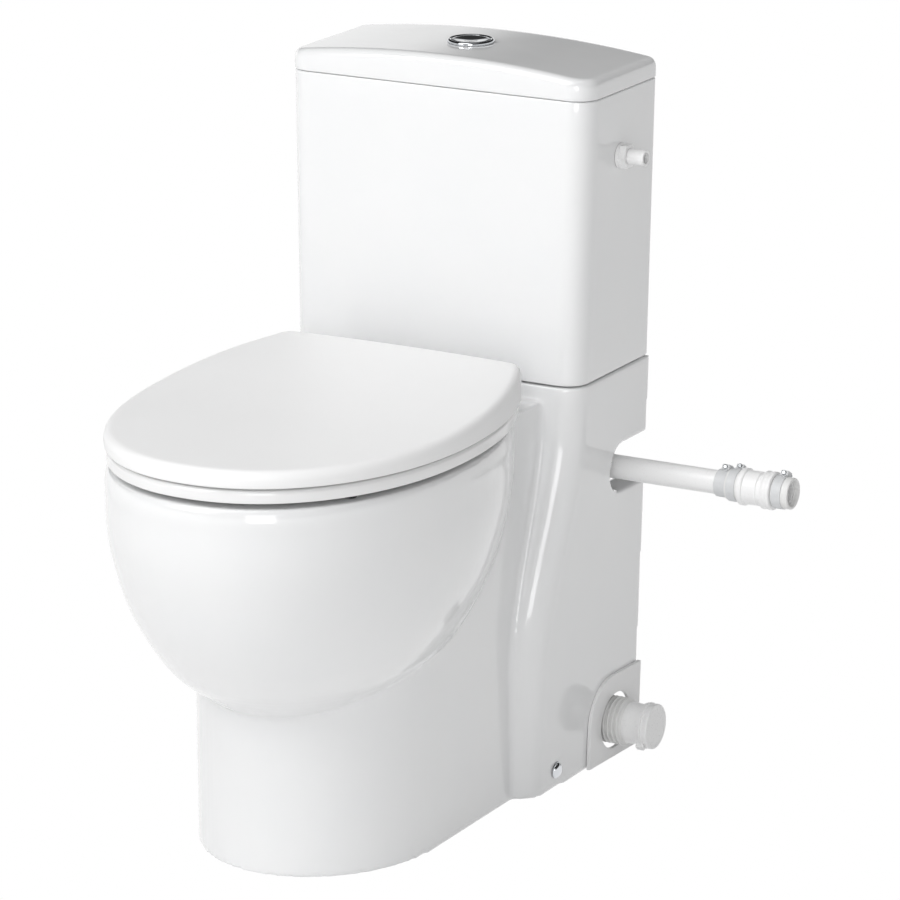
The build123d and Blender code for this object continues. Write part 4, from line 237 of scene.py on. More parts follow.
# Moulded ABS of the cover plate: cool white with a fine spark-eroded grain that dulls it.
PLATE_ABS = Finish("grained white ABS", "#F8F8F8", "#F3F3F3", 20, (0.28, 0.40), Relief.MOULD_GRAIN, 0.9, 0.02,
                   ior=1.52)
# Cured EPDM: near black, dull, with a dusty bloom.
EPDM = Finish("moulded EPDM rubber", "#1B1C1D", "#242526", 7, (0.62, 0.8), Relief.MOULD_GRAIN, 0.8, 0.03, ior=1.5,
              sheen=0.2)
# Rolled and brushed stainless strip: light grey with fine lines that stretch each reflection.
STEEL = Finish("brushed stainless steel", "#B9BBBD", "#A7AAAD", 6, (0.24, 0.4), Relief.BRUSH_LINES, 0.7, 0.01,
               metallic=1.0)
# Zinc-flake coated strip of the hose clips: pale matte grey, more like paint than bare metal.
ZINC_FLAKE = Finish("zinc-flake coated strip", "#E0E1E2", "#D4D6D8", 5, (0.38, 0.5), Relief.BRUSH_LINES, 0.7, 0.01,
                    ior=1.6)
# Die-cast aluminium of the motor: matte light grey with a pebbled casting skin.
CAST_METAL = Finish("die-cast aluminium", "#A3A6A8", "#92969A", 12, (0.45, 0.62), Relief.CAST_SKIN, 2.2, 0.06,
                    metallic=1.0)
# Enamelled copper winding and iron core of the motor, seen only where the housing is open.
WINDING = Finish("varnished motor iron", "#5A4B43", "#6E3F2A", 5, (0.4, 0.6), Relief.CAST_SKIN, 1.2, 0.05, ior=1.5)
# Polypropylene of the macerator casing: pale grey and waxy.
CASING_PP = Finish("moulded polypropylene", "#DDDFDF", "#D2D5D6", 30, (0.36, 0.5), Relief.MOULD_GRAIN, 1.2, 0.03,
                   ior=1.49)
# Moulded nylon of glands, nuts and rods: milky and smooth.
NYLON = Finish("moulded nylon", "#E2E1DB", "#D8D7D0", 10, (0.32, 0.44), Relief.MOULD_GRAIN, 1.0, 0.015, ior=1.53)


def finish_piece(piece: bpy.types.Object, finish: Finish) -> None:
    """Give a piece one finish in all its material slots."""
    if not piece.material_slots:
        piece.data.materials.append(finish.material())
    for place in piece.material_slots:
        place.material = finish.material()


def smooth_table(table: tuple[Pair, ...], at: float) -> float:
    """Read a table of pairs with a smooth curve through its points.

    Args:
        table: Pairs of place and value, in rising order of place.
        at: Place to read.

    Returns:
        The value there.
    """
    places = [p for p, _ in table]
    values = [v for _, v in table]
    at = min(max(at, places[0]), places[-1])
    slopes = list(np.gradient(np.array(values), np.array(places)))
    i = min(max(int(np.searchsorted(places, at)) - 1, 0), len(places) - 2)
    span = places[i + 1] - places[i]
    t = (at - places[i]) / span
    first = (2 * t**3 - 3 * t**2 + 1) * values[i] + (t**3 - 2 * t**2 + t) * span * slopes[i]
    return float(first + (3 * t**2 - 2 * t**3) * values[i + 1] + (t**3 - t**2) * span * slopes[i + 1])


def rounded_corners(corners: list[Pair], radii: list[float], steps: int = 8) -> list[Pair]:
    """Outline with an arc at each corner, always with the same count of points.

    Args:
        corners: Corners of the outline, in order.
        radii: Radius of each corner.
        steps: Spans of each arc.

    Returns:
        Points of the outline, steps + 1 for each corner.
    """
    outline: list[Pair] = []
    for i, (corner, radius) in enumerate(zip(corners, radii)):
        here = Vector(corner)
        before = (Vector(corners[i - 1]) - here).normalized()
        after = (Vector(corners[(i + 1) % len(corners)]) - here).normalized()
        half = before.angle(after) / 2
        reach = radius / math.tan(half)
        centre = here + (before + after).normalized() * (radius / math.sin(half))
        start = here + before * reach - centre
        end = here + after * reach - centre
        turn = start.angle_signed(end)
        for step in range(steps + 1):
            spoke = start.copy()
            spoke.rotate(Matrix.Rotation(-turn * step / steps, 2))
            outline.append((centre.x + spoke.x, centre.y + spoke.y))
    return outline


def grown(outline: list[Pair], distance: float) -> list[Pair]:
    """Move a counter-clockwise outline outward by a distance, inward where it is negative."""
    points = np.array(outline)
    along = np.roll(points, -1, axis=0) - np.roll(points, 1, axis=0)
    along /= np.linalg.norm(along, axis=1)[:, None]
    return [tuple(p) for p in points + distance * np.stack((along[:, 1], -along[:, 0]), axis=1)]


def counter_clockwise(outline: list[Pair]) -> list[Pair]:
    """Return the outline in counter-clockwise order."""
    points = np.array(outline)
    following = np.roll(points, -1, axis=0)
    area = np.sum(points[:, 0] * following[:, 1] - following[:, 0] * points[:, 1])
    return outline if area > 0 else outline[::-1]


def quarter(steps: int) -> list[float]:
    """Angles from zero to a right angle, for a quarter round."""
    return [math.pi / 2 * s / steps for s in range(steps + 1)]


def circle(radius: float, count: int, centre: Pair = (0.0, 0.0)) -> list[Pair]:
    """Circle of a count of points, counter-clockwise from the right."""
    turns = [2 * math.pi * s / count for s in range(count)]
    return [(centre[0] + radius * math.cos(a), centre[1] + radius * math.sin(a)) for a in turns]


def nose(half: float, front: float, centre: float, power: float, count: int) -> list[Pair]:
    """Front half of an egg-shaped plan, from its left end round to its right end.

    Args:
        half: Half width at both ends.
        front: Reach in front of them.
        centre: Depth of both ends.
        power: Fullness of the nose.
        count: Spans of the outline.

    Returns:
        The open outline.
    """
    outline = []
    for s in range(count + 1):
        angle = math.pi + math.pi * s / count
        across, along = math.cos(angle), -math.sin(angle)
        outline.append((half * math.copysign(abs(across) ** (2 / power), across),
                        -centre - front * max(along, 0.0) ** (2 / power)))
    return outline


def at_height(outline: list[Pair], height: float) -> list[Point]:
    """Lay a plan level at a height."""
    return [(x, y, height) for x, y in outline]


def upright(outline: list[Pair], across: float) -> list[Point]:
    """Stand an outline of (depth axis, height) pairs at a place across the toilet."""
    return [(across, y, z) for y, z in outline]


@dataclass
class Form:
    """Mesh in the making, with its points in millimetres."""

    points: list[Point] = field(default_factory=list)
    faces: list[tuple[int, ...]] = field(default_factory=list)

    def rings(self, rings: list[list[Point]], looped: bool = False) -> "Form":
        """Skin rings of equal count into a closed shell.

        Args:
            rings: Rings in order; the first and last are capped unless looped.
            looped: Whether the last ring joins the first.

        Returns:
            The form itself.
        """
        base, count = len(self.points), len(rings[0])
        for ring in rings:
            self.points.extend(ring)
        spans = len(rings) if looped else len(rings) - 1
        for r in range(spans):
            low = base + r * count
            high = base + ((r + 1) % len(rings)) * count
            for i in range(count):
                j = (i + 1) % count
                self.faces.append((low + i, low + j, high + j, high + i))
        if not looped:
            self.faces.append(tuple(reversed(range(base, base + count))))
            top = base + (len(rings) - 1) * count
            self.faces.append(tuple(range(top, top + count)))
        return self

    def slab(self, outline: list[Pair], low: float, high: float, edge: float = 0.0, steps: int = 3) -> "Form":
        """Flat solid along Z with rounded top and bottom edges.

        Args:
            outline: Plan, in order.
            low: Height of the underside.
            high: Height of the top.
            edge: Radius of the edges.
            steps: Spans of each edge's round.

        Returns:
            The form itself.
        """
        plan = counter_clockwise(outline)
        stations: list[Pair] = [(low, 0.0), (high, 0.0)]
        if edge:
            turns = quarter(steps)
            stations = [(low + edge * (1 - math.sin(a)), -edge * (1 - math.cos(a))) for a in reversed(turns)]
            stations += [(high - edge * (1 - math.sin(a)), -edge * (1 - math.cos(a))) for a in turns]
        return self.rings([at_height(grown(plan, g), z) for z, g in stations])

    def turned(self, stations: list[Pair], segments: int = 96) -> "Form":
        """Solid of revolution about +Z from a closed section.

        Args:
            stations: (along the axis, radius) pairs of the section, in order.
            segments: Sides of each circle.

        Returns:
            The form itself.
        """
        return self.rings([at_height(circle(radius, segments), along) for along, radius in stations], looped=True)

    def moved(self, matrix: Matrix) -> "Form":
        """Place the form with a matrix whose translation is in millimetres."""
        self.points = [tuple(matrix @ Vector(p)) for p in self.points]
        return self

    def joined(self, other: "Form") -> "Form":
        """Add another form's shells to this one."""
        base = len(self.points)
        self.points.extend(other.points)
        self.faces.extend(tuple(base + i for i in face) for face in other.faces)
        return self

    def piece(self, name: str, sharp: float = 38.0) -> bpy.types.Object:
        """Make the Blender object.

        Args:
            name: Name of the object.
            sharp: Edges that turn by more degrees than this stay crisp.

        Returns:
            The object, linked to the scene.
        """
        mesh = bpy.data.meshes.new(name)
        mesh.from_pydata([(x * MM, y * MM, z * MM) for x, y, z in self.points], [], self.faces)
        piece = stand(name, mesh)
        tidy(piece, sharp)
        return piece


def tidy(piece: bpy.types.Object, sharp: float = 38.0) -> None:
    """Weld doubled points, face all outward, and shade smooth between crisp edges.

    Args:
        piece: Object whose mesh is put in order.
        sharp: Edges that turn by more degrees than this stay crisp.
    """
    work = bmesh.new()
    work.from_mesh(piece.data)
    bmesh.ops.remove_doubles(work, verts=work.verts, dist=1e-6)
    bmesh.ops.dissolve_degenerate(work, edges=work.edges, dist=1e-6)
    bmesh.ops.recalc_face_normals(work, faces=work.faces)
    for face in work.faces:
        face.smooth = True
    for edge in work.edges:
        edge.smooth = len(edge.link_faces) == 2 and edge.calc_face_angle(0) < math.radians(sharp)
    work.to_mesh(piece.data)
    work.free()
    piece.data.update()


def bake(piece: bpy.types.Object) -> None:
    """Turn a piece's modifiers into its mesh."""
    graph = bpy.context.evaluated_depsgraph_get()
    mesh = bpy.data.meshes.new_from_object(piece.evaluated_get(graph), depsgraph=graph)
    piece.modifiers.clear()
    piece.data = mesh
    mesh.name = piece.name


def combine(piece: bpy.types.Object, tool: bpy.types.Object, operation: str) -> None:
    """Unite, cut or intersect a piece with a tool, which is used up.

    Args:
        piece: Object that is changed.
        tool: Object that changes it.
        operation: UNION, DIFFERENCE or INTERSECT.
    """
    step = piece.modifiers.new("combine", "BOOLEAN")
    step.operation = operation
    step.solver = "EXACT"
    step.object = tool
    bake(piece)
    bpy.data.objects.remove(tool)


def soften(piece: bpy.types.Object, voxel_mm: float, rounds: int) -> None:
    """Rebuild a china piece as one even skin whose creases are soft, as slip casting and glaze leave them.

    Args:
        piece: Object to rebuild.
        voxel_mm: Size of the new faces.
        rounds: Passes of smoothing.
    """
    skin = piece.modifiers.new("skin", "REMESH")
    skin.mode = "VOXEL"
    skin.voxel_size = voxel_mm * MM
    skin.use_smooth_shade = True
    ease = piece.modifiers.new("ease", "SMOOTH")
    ease.factor = 0.5
    ease.iterations = rounds
    bake(piece)
    for polygon in piece.data.polygons:
        polygon.use_smooth = True


def bevel(piece: bpy.types.Object, width_mm: float, segments: int = 2, angle: float = 35.0) -> None:
    """Round the crisp edges of a piece with a live modifier."""
    step = piece.modifiers.new("edge", "BEVEL")
    step.width = width_mm * MM
    step.segments = segments
    step.limit_method = "ANGLE"
    step.angle_limit = math.radians(angle)
    step.harden_normals = False


def mount(piece: bpy.types.Object, body: str, finish: Finish, *nodes: str, slot: str = "") -> bpy.types.Object:
    """Finish a piece, set it on its body and let it stand for its nodes.

    Args:
        piece: Object to mount.
        body: Body that it rides on.
        finish: Its finish.
        nodes: Solids that it stands for.
        slot: Material slot of the record, where it has one; not used.

    Returns:
        The piece.
    """
    finish_piece(piece, finish)
    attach(piece, body)
    if nodes:
        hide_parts(*nodes)
    LOG.info("%s on %s, %d faces, for %s", piece.name, body, len(piece.data.polygons), ", ".join(nodes) or "itself")
    return piece


def egg(half_width: float, front: float, rear: float, centre_y: float, power: float, count: int) -> list[Pair]:
    """Egg-shaped plan, full at the front and elliptical at the rear, counter-clockwise from the right side.

    Args:
        half_width: Half of the greatest width.
        front: Reach in front of the centre.
        rear: Reach behind the centre.
        centre_y: Place of the widest section.
        power: Fullness of the front.
        count: Points of the outline.

    Returns:
        The outline.
    """
    outline = []
    for step in range(count):
        angle = 2 * math.pi * step / count
        across, along = math.cos(angle), math.sin(angle)
        if along > 0:
            outline.append((half_width * across, centre_y + rear * along))
        else:
            outline.append((half_width * math.copysign(abs(across) ** (2 / power), across),
                            centre_y - front * abs(along) ** (2 / power)))
    return outline


@dataclass
class Pan:
    """China pan: bowl, pedestal, and the hollow rear column that takes the macerator."""

    rim_height: float = 429.0
    seam_height: float = 445.5
    seam_half_width: float = 175.2
    foot_half_width: float = 161.0
    toe_half_width: float = 150.5
    seam_depth: float = 168.0
    sweep_depth: float = 231.0
    floor_depth: float = 226.0
    sweep_top: float = 420.0
    sweep_foot: float = 150.0
    corner_radius: float = 29.0
    column_wall: float = 12.0
    pedestal_half_width: float = 129.5
    deck_half_width: float = 132.0
    pedestal_centre: float = 395.4
    pedestal_nose: float = 149.0
    pedestal_wall: float = 13.0
    deck_wall: float = 14.0
    bowl_size: tuple[float, float, float] = (184.2, 244.5, 282.0)
    bowl_centre: float = 427.7
    bowl_power: float = 2.12
    bowl_foot: float = 155.0
    bowl_widths: tuple[Pair, ...] = (
        (0.0, 0.370), (0.075, 0.512), (0.18, 0.679), (0.31, 0.802), (0.455, 0.899), (0.60, 0.959), (0.75, 0.997),
        (0.89, 1.003), (0.975, 0.999), (1.0, 0.986))
    well_size: tuple[float, float, float] = (147.0, 178.0, 148.0)
    well_centre: float = 455.0
    well_shift: float = 62.0
    well_foot: float = 128.0
    well_widths: tuple[Pair, ...] = (
        (0.0, 0.22), (0.07, 0.34), (0.15, 0.46), (0.25, 0.60), (0.37, 0.75), (0.50, 0.89), (0.63, 1.0), (0.77, 1.06),
        (0.90, 1.07), (0.95, 1.0), (1.0, 1.0))
    well_backs: tuple[Pair, ...] = (
        (0.0, 1.0), (0.07, 0.92), (0.15, 0.78), (0.25, 0.60), (0.37, 0.42), (0.50, 0.27), (0.63, 0.18), (0.77, 0.10),
        (0.90, 0.03), (0.95, 0.0), (1.0, 0.0))
    bowl_wall: float = 14.0
    trap_bore: float = 56.0
    trap_wall: float = 14.0
    outlet_height: float = 222.0
    outlet_outer: float = 84.0
    outlet_face: float = 178.0
    channel_bore: float = 42.0
    channel_height: float = 400.0
    merge_depth: float = 150.0
    spare: float = 20.0
    voxel: float = 2.8
    rounds: int = 2
    notch: tuple[float, float, float, float] = (79.5, 306.0, 361.0, 24.0)
    notch_rim: Pair = (10.0, 20.0)
    opening: tuple[float, float, float] = (86.0, -20.0, 78.0)
    side_cut_span: Pair = (118.0, 200.0)
    back_radius: float = 1.5
    trap_path: tuple[Pair, ...] = (
        (-400.0, 117.0), (-300.0, 185.0), (-272.0, 204.0), (-245.0, 217.0), (-215.0, 222.0), (-140.0, 222.0))
    duct_plan: tuple[Pair, ...] = ((-60.0, -165.0), (60.0, -165.0), (60.0, -25.0), (-60.0, -25.0))
    duct_foot: float = 370.0
    drop_depth: float = 85.0
    drop_radius: float = 29.0
    recess_radius: float = 48.0
    recess_depth: float = 13.5

    def sweep(self, height: float) -> float:
        """Depth of the column's front at a height: plumb at the top, swept forward to its foot."""
        if height >= self.sweep_top:
            return self.seam_depth
        if height <= self.sweep_foot:
            return self.floor_depth + (self.sweep_depth - self.floor_depth) * height / self.sweep_foot
        t = (self.sweep_top - height) / (self.sweep_top - self.sweep_foot)
        return self.seam_depth + (self.sweep_depth - self.seam_depth) * t * t * (3 - 2 * t)

    def side(self, depth: float, height: float) -> float:
        """Half width of the column at a depth from the wall and a height."""
        foot = self.foot_half_width + (self.toe_half_width - self.foot_half_width) * depth / self.sweep_depth
        return foot + (self.seam_half_width - foot) * height / self.seam_height

    def column(self, wall: float, low: float, high: float, rear: float, levels: int) -> Form:
        """Column or its hollow, as one tapered block with round front corners.

        Args:
            wall: How far the form stays inside the outer faces.
            low: Height of its foot.
            high: Height of its top.
            rear: Place of its back face.
            levels: Rings up its height.

        Returns:
            The block.
        """
        rings = []
        for level in range(levels + 1):
            z = low + (high - low) * level / levels
            front = self.sweep(z) - wall
            corners = [(-self.side(front, z) + wall, -front), (self.side(front, z) - wall, -front),
                       (self.side(-rear, z) - wall, rear), (-self.side(-rear, z) + wall, rear)]
            round_front = self.corner_radius - wall
            plan = rounded_corners(corners, [round_front, round_front, self.back_radius, self.back_radius], 12)
            rings.append(at_height(plan, z))
        return Form().rings(rings)

    def vessel(self, widths: tuple[Pair, ...], backs: tuple[Pair, ...] | None, foot: float, size: tuple,
               centre: float, grow: float, top: float) -> Form:
        """Egg-shaped block of the bowl or of its well.

        Args:
            widths: Width at each level, as a share of the rim's.
            backs: Backward shift at each level, as a share of the well's shift.
            foot: Height of its foot.
            size: Half width, front and rear reach at the rim.
            centre: Depth of its widest section at the rim.
            grow: How far it is grown all round.
            top: Height of its top.

        Returns:
            The block.
        """
        rings = []
        levels = 44
        for level in range(levels + 1):
            share = level / levels
            z = foot + share * (self.rim_height - foot)
            width = smooth_table(widths, share)
            back = smooth_table(backs, share) * self.well_shift if backs else 0.0
            plan = egg(size[0] * width + grow, size[1] * width + grow, size[2] * width + grow, back - centre,
                       self.bowl_power, 160)
            rings.append(at_height(plan, z))
        if grow:
            rings.insert(0, [(x, y, z - grow) for x, y, z in rings[0]])
        if top > self.rim_height:
            rings.append([(x, y, top) for x, y, _ in rings[-1]])
        return Form().rings(rings)

    def pedestal(self, wall: float, low: float, high: float, rear: float) -> Form:
        """Pedestal with its half-round nose, or the hollow inside it.

        Args:
            wall: How far it stays inside the outer faces.
            low: Height of its foot.
            high: Height of its top.
            rear: Place of its back face.

        Returns:
            The block.
        """
        rings = []
        for level in range(9):
            z = low + (high - low) * level / 8
            half = self.pedestal_half_width - wall
            half += (self.deck_half_width - self.pedestal_half_width) * max(z, 0) / self.rim_height
            nose = self.pedestal_nose - wall
            plan = [(half * math.cos(math.pi + math.pi * s / 48),
                     -self.pedestal_centre + nose * math.sin(math.pi + math.pi * s / 48)) for s in range(49)]
            rings.append(at_height(plan + [(half, rear), (-half, rear)], z))
        return Form().rings(rings)

    def trap(self, radius: float) -> Form:
        """Bent tube from the well up to the outlet spigot, as a solid of the given radius."""
        path = [Vector((0, y, z)) for y, z in self.trap_path]
        rings = []
        for i, point in enumerate(path):
            along = (path[min(i + 1, len(path) - 1)] - path[max(i - 1, 0)]).normalized()
            up = Vector((1, 0, 0)).cross(along)
            rings.append([tuple(point + Vector((1, 0, 0)) * radius * math.cos(2 * math.pi * s / 48)
                                + up * radius * math.sin(2 * math.pi * s / 48)) for s in range(48)])
        return Form().rings(rings)

    def rod(self, radius: float, start: Point, end: Point) -> Form:
        """Round rod between two points, used to add or drill."""
        a, b = Vector(start), Vector(end)
        turn = (b - a).to_track_quat("Z", "Y").to_matrix().to_4x4()
        return Form().slab(circle(radius, 48), 0, (b - a).length).moved(Matrix.Translation(a) @ turn)

    def side_cut(self, depth: float, floor: float, roof: float, radii: list[float]) -> Form:
        """Block that opens the right wall of the column toward the wall behind.

        Args:
            depth: How far it reaches from the wall behind.
            floor: Height of its underside.
            roof: Height of its top.
            radii: Radii of its lower and upper inner corners.

        Returns:
            The block.
        """
        corners = [(-depth, floor), (20.0, floor), (20.0, roof), (-depth, roof)]
        plan = rounded_corners(corners, [radii[0], 1.0, 1.0, radii[1]], 8)
        return Form().rings([upright(plan, x) for x in self.side_cut_span])

    def notch_lining(self) -> Form:
        """Block of china inside the column that the notch is cut through, so that it gets a deep floor."""
        depth, floor, roof, radius = self.notch
        wall, reach = self.notch_rim
        inside, low, high = -depth - wall, floor - wall, roof + wall
        corners = [(inside, low), (-0.5, low), (-0.5, high), (inside, high)]
        plan = rounded_corners(corners, [radius + wall, 1.0, 1.0, radius + wall], 8)
        inner = self.side(depth, floor) - self.column_wall
        return Form().rings([upright(plan, x) for x in (inner - reach, inner + self.column_wall / 2)])

    def build(self) -> None:
        """Cast the pan: unite the outer forms, cut the hollows, and soften the whole."""
        pan = self.column(0, 0, self.seam_height, 0, 60).piece("china_pan")
        bowl = self.vessel(self.bowl_widths, None, self.bowl_foot, self.bowl_size, self.bowl_centre, 0,
                           self.rim_height).piece("bowl_tool")
        combine(pan, self.pedestal(0, 0, self.rim_height, -self.merge_depth).piece("pedestal_tool"), "UNION")
        combine(pan, bowl, "UNION")
        hollow = self.column(self.column_wall, -self.spare, self.seam_height - 12, self.spare, 60)
        combine(pan, hollow.piece("hollow_tool"), "DIFFERENCE")
        core = self.pedestal(self.pedestal_wall, -self.spare, self.rim_height - self.deck_wall, -self.merge_depth)
        core = core.piece("core_tool")
        well = (self.well_widths, self.well_backs, self.well_foot, self.well_size, self.well_centre)
        shell = self.vessel(*well, self.bowl_wall, self.rim_height + 2 * self.spare)
        combine(core, shell.piece("shell_tool"), "DIFFERENCE")
        combine(core, self.trap(self.trap_bore / 2 + self.trap_wall).piece("trap_shell_tool"), "DIFFERENCE")
        channel = (0, -150, self.channel_height), (0, -420, self.channel_height)
        combine(core, self.rod(self.channel_bore / 2 + self.trap_wall, *channel).piece("duct_tool"), "DIFFERENCE")
        combine(pan, core, "DIFFERENCE")
        duct = Form().rings([at_height(self.duct_plan, z) for z in (self.duct_foot, self.seam_height - 4)])
        combine(pan, duct.piece("duct_box_tool"), "UNION")
        spigot = (0, -self.sweep_depth + 8, self.outlet_height), (0, -self.outlet_face, self.outlet_height)
        combine(pan, self.rod(self.outlet_outer / 2, *spigot).piece("spigot_tool"), "UNION")
        combine(pan, self.vessel(*well, 0, self.rim_height + self.spare).piece("well_tool"), "DIFFERENCE")
        combine(pan, self.trap(self.trap_bore / 2).piece("trap_tool"), "DIFFERENCE")
        bore = (0, -72, self.channel_height), (0, -330, self.channel_height)
        combine(pan, self.rod(self.channel_bore / 2, *bore).piece("channel_tool"), "DIFFERENCE")
        bores = (self.drop_radius, self.channel_height), (self.recess_radius, self.seam_height - self.recess_depth)
        for radius, foot in bores:
            drop = (0, -self.drop_depth, foot), (0, -self.drop_depth, self.seam_height + 24.5)
            combine(pan, self.rod(radius, *drop).piece("drop_tool"), "DIFFERENCE")
        combine(pan, self.notch_lining().piece("lining_tool"), "UNION")
        depth, floor, roof, radius = self.notch
        combine(pan, self.side_cut(depth, floor, roof, [radius, radius]).piece("notch_tool"), "DIFFERENCE")
        combine(pan, self.side_cut(*self.opening, [1, 18]).piece("opening_tool"), "DIFFERENCE")
        soften(pan, self.voxel, self.rounds)
        mount(pan, "toilet_body", CHINA, "pan", slot="white_china")


@dataclass
class Cistern:
    """China cistern on the column, and its crowned lid."""

    base: float = 447.5
    top: float = 753.0
    half_width: float = 175.2
    top_half_width: float = 181.8
    depth: float = 168.0
    top_depth: float = 162.6
    back: float = 1.0
    corner_radius: float = 26.0
    back_radius: float = 10.0
    wall: float = 9.0
    floor: float = 12.0
    base_edge: float = 3.0
    mouth_edge: float = 1.6
    floor_sweep: float = 8.0
    cap_inset: float = 60.0
    lid_gap: float = 0.8
    lid_overhang: float = 0.5
    lid_edge: float = 774.5
    lid_crown: float = 787.0
    lid_edge_radius: float = 9.0
    crown_insets: tuple[float, ...] = (12, 18, 28, 40)
    crown_shares: tuple[float, ...] = (0.86, 0.72, 0.58, 0.45, 0.32, 0.2, 0.1, 0.03)
    lid_wall: float = 10.0
    rib_height: float = 10.0
    rib_gap: float = 3.0
    rib_wall: float = 8.0
    rib_edge: float = 1.5
    button_depth: float = 84.0
    button_hole: float = 22.4

    def plan(self, half: float, front: float, back: float, shrink: float) -> list[Pair]:
        """Plan with round corners, moved in by a distance.

        Args:
            half: Half width before it is moved in.
            front: Depth of the front.
            back: Depth of the back.
            shrink: How far it is moved in.

        Returns:
            The outline, counter-clockwise.
        """
        corners = [(-half + shrink, -front + shrink), (half - shrink, -front + shrink),
                   (half - shrink, -back - shrink), (-half + shrink, -back - shrink)]
        front_radius = max(self.corner_radius - shrink, 4.0)
        back_radius = max(self.back_radius - shrink, 4.0)
        arcs = rounded_corners(corners, [front_radius, front_radius, back_radius, back_radius], 14)
        outline = []
        for side in range(4):
            outline += arcs[15 * side:15 * (side + 1)]
            start, end = Vector(outline[-1]), Vector(arcs[15 * (side + 1) % 60])
            spans = 36 if side % 2 == 0 else 12
            outline += [tuple(start.lerp(end, s / spans)) for s in range(1, spans)]
        return outline

    def level(self, z: float, shrink: float) -> list[Point]:
        """Ring of the cistern's tapered side at a height, moved in by a distance."""
        share = (z - self.base) / (self.top - self.base)
        half = self.half_width + share * (self.top_half_width - self.half_width)
        front = self.depth + share * (self.top_depth - self.depth)
        return at_height(self.plan(half, front, self.back, shrink), z)

    def crown(self, x: float) -> float:
        """Height of the lid's crowned top at a distance from the centre line."""
        half = self.top_half_width + self.lid_overhang
        sag = self.lid_crown - self.lid_edge
        radius = (half**2 + sag**2) / (2 * sag)
        return self.lid_crown - radius + math.sqrt(radius**2 - x**2)

    def build_box(self) -> None:
        """Cast the open box, with a soft foot, a narrow bedding rim and a rounded mouth."""
        arc = quarter(5)
        rings = [self.level(self.base, self.cap_inset)]
        rings += [self.level(self.base + self.base_edge * (1 - math.cos(a)), self.base_edge * (1 - math.sin(a)))
                  for a in arc]
        rings += [self.level(self.base + (self.top - self.base) * s / 12, 0.0) for s in range(1, 12)]
        lip = self.mouth_edge
        rings += [self.level(self.top - lip + lip * math.sin(a), lip * (1 - math.cos(a))) for a in arc]
        rings += [self.level(self.top - lip + lip * math.cos(a), self.wall - lip * (1 - math.sin(a))) for a in arc]
        foot = self.base + self.floor
        rings += [self.level(foot + (self.top - lip - foot) * s / 8, self.wall) for s in range(7, 0, -1)]
        sweep = self.floor_sweep
        rings += [self.level(foot + sweep * (1 - math.sin(a)), self.wall + sweep * (1 - math.cos(a))) for a in arc]
        rings += [self.level(foot, self.cap_inset)]
        box = Form().rings(rings).piece("cistern_box", 60)
        mount(box, "toilet_body", CHINA, "cistern", slot="white_china")

    def build_lid(self) -> None:
        """Cast the lid: crowned top, soft edge, and a locating rib underneath."""
        low = self.top + self.lid_gap
        half = self.top_half_width + self.lid_overhang
        front = self.top_depth + self.lid_overhang
        arc = quarter(6)
        inner = self.wall + self.rib_gap

        def ring(shrink: float, height: float | None, drop: float = 0.0) -> list[Point]:
            """Ring moved in by a distance, flat at a height or on the crown less a drop."""
            outline = self.plan(half, front, self.back, shrink)
            return [(x, y, self.crown(x) - drop if height is None else height) for x, y in outline]

        rib, rib_foot, soft = inner + self.rib_wall, low - self.rib_height, self.rib_edge
        stations = [ring(70, None, self.lid_wall), ring(rib + 4, None, self.lid_wall), ring(rib, low + 6),
                    ring(rib, rib_foot + soft), ring(rib - soft, rib_foot), ring(inner + soft, rib_foot),
                    ring(inner, rib_foot + soft), ring(inner, low - 0.8), ring(inner - 0.8, low)]
        stations += [ring(1.4, low), ring(0.6, low + 0.25), ring(0.15, low + 0.7), ring(0.0, low + 1.4)]
        radius = self.lid_edge_radius
        stations += [ring(0.0, low + 6)]
        stations += [ring(radius * (1 - math.cos(a)), None, radius * (1 - math.sin(a))) for a in arc]
        stations += [ring(s, None) for s in self.crown_insets]
        middle = -(front + self.back) / 2
        last = ring(self.crown_insets[-1], None)
        stations += [[(x * s, middle + (y - middle) * s, self.crown(x * s)) for x, y, _ in last]
                     for s in self.crown_shares]
        lid = Form().rings(stations).piece("cistern_lid_china", 50)
        hole = Form().slab(circle(self.button_hole, 72, (0.0, -self.button_depth)), low - 40, self.lid_crown + 20)
        combine(lid, hole.piece("button_hole_tool"), "DIFFERENCE")
        tidy(lid, 50)
        mount(lid, "toilet_body", CHINA, "cistern_lid", slot="white_china")

    def build(self) -> None:
        """Build the box and its lid."""
        self.build_box()
        self.build_lid()


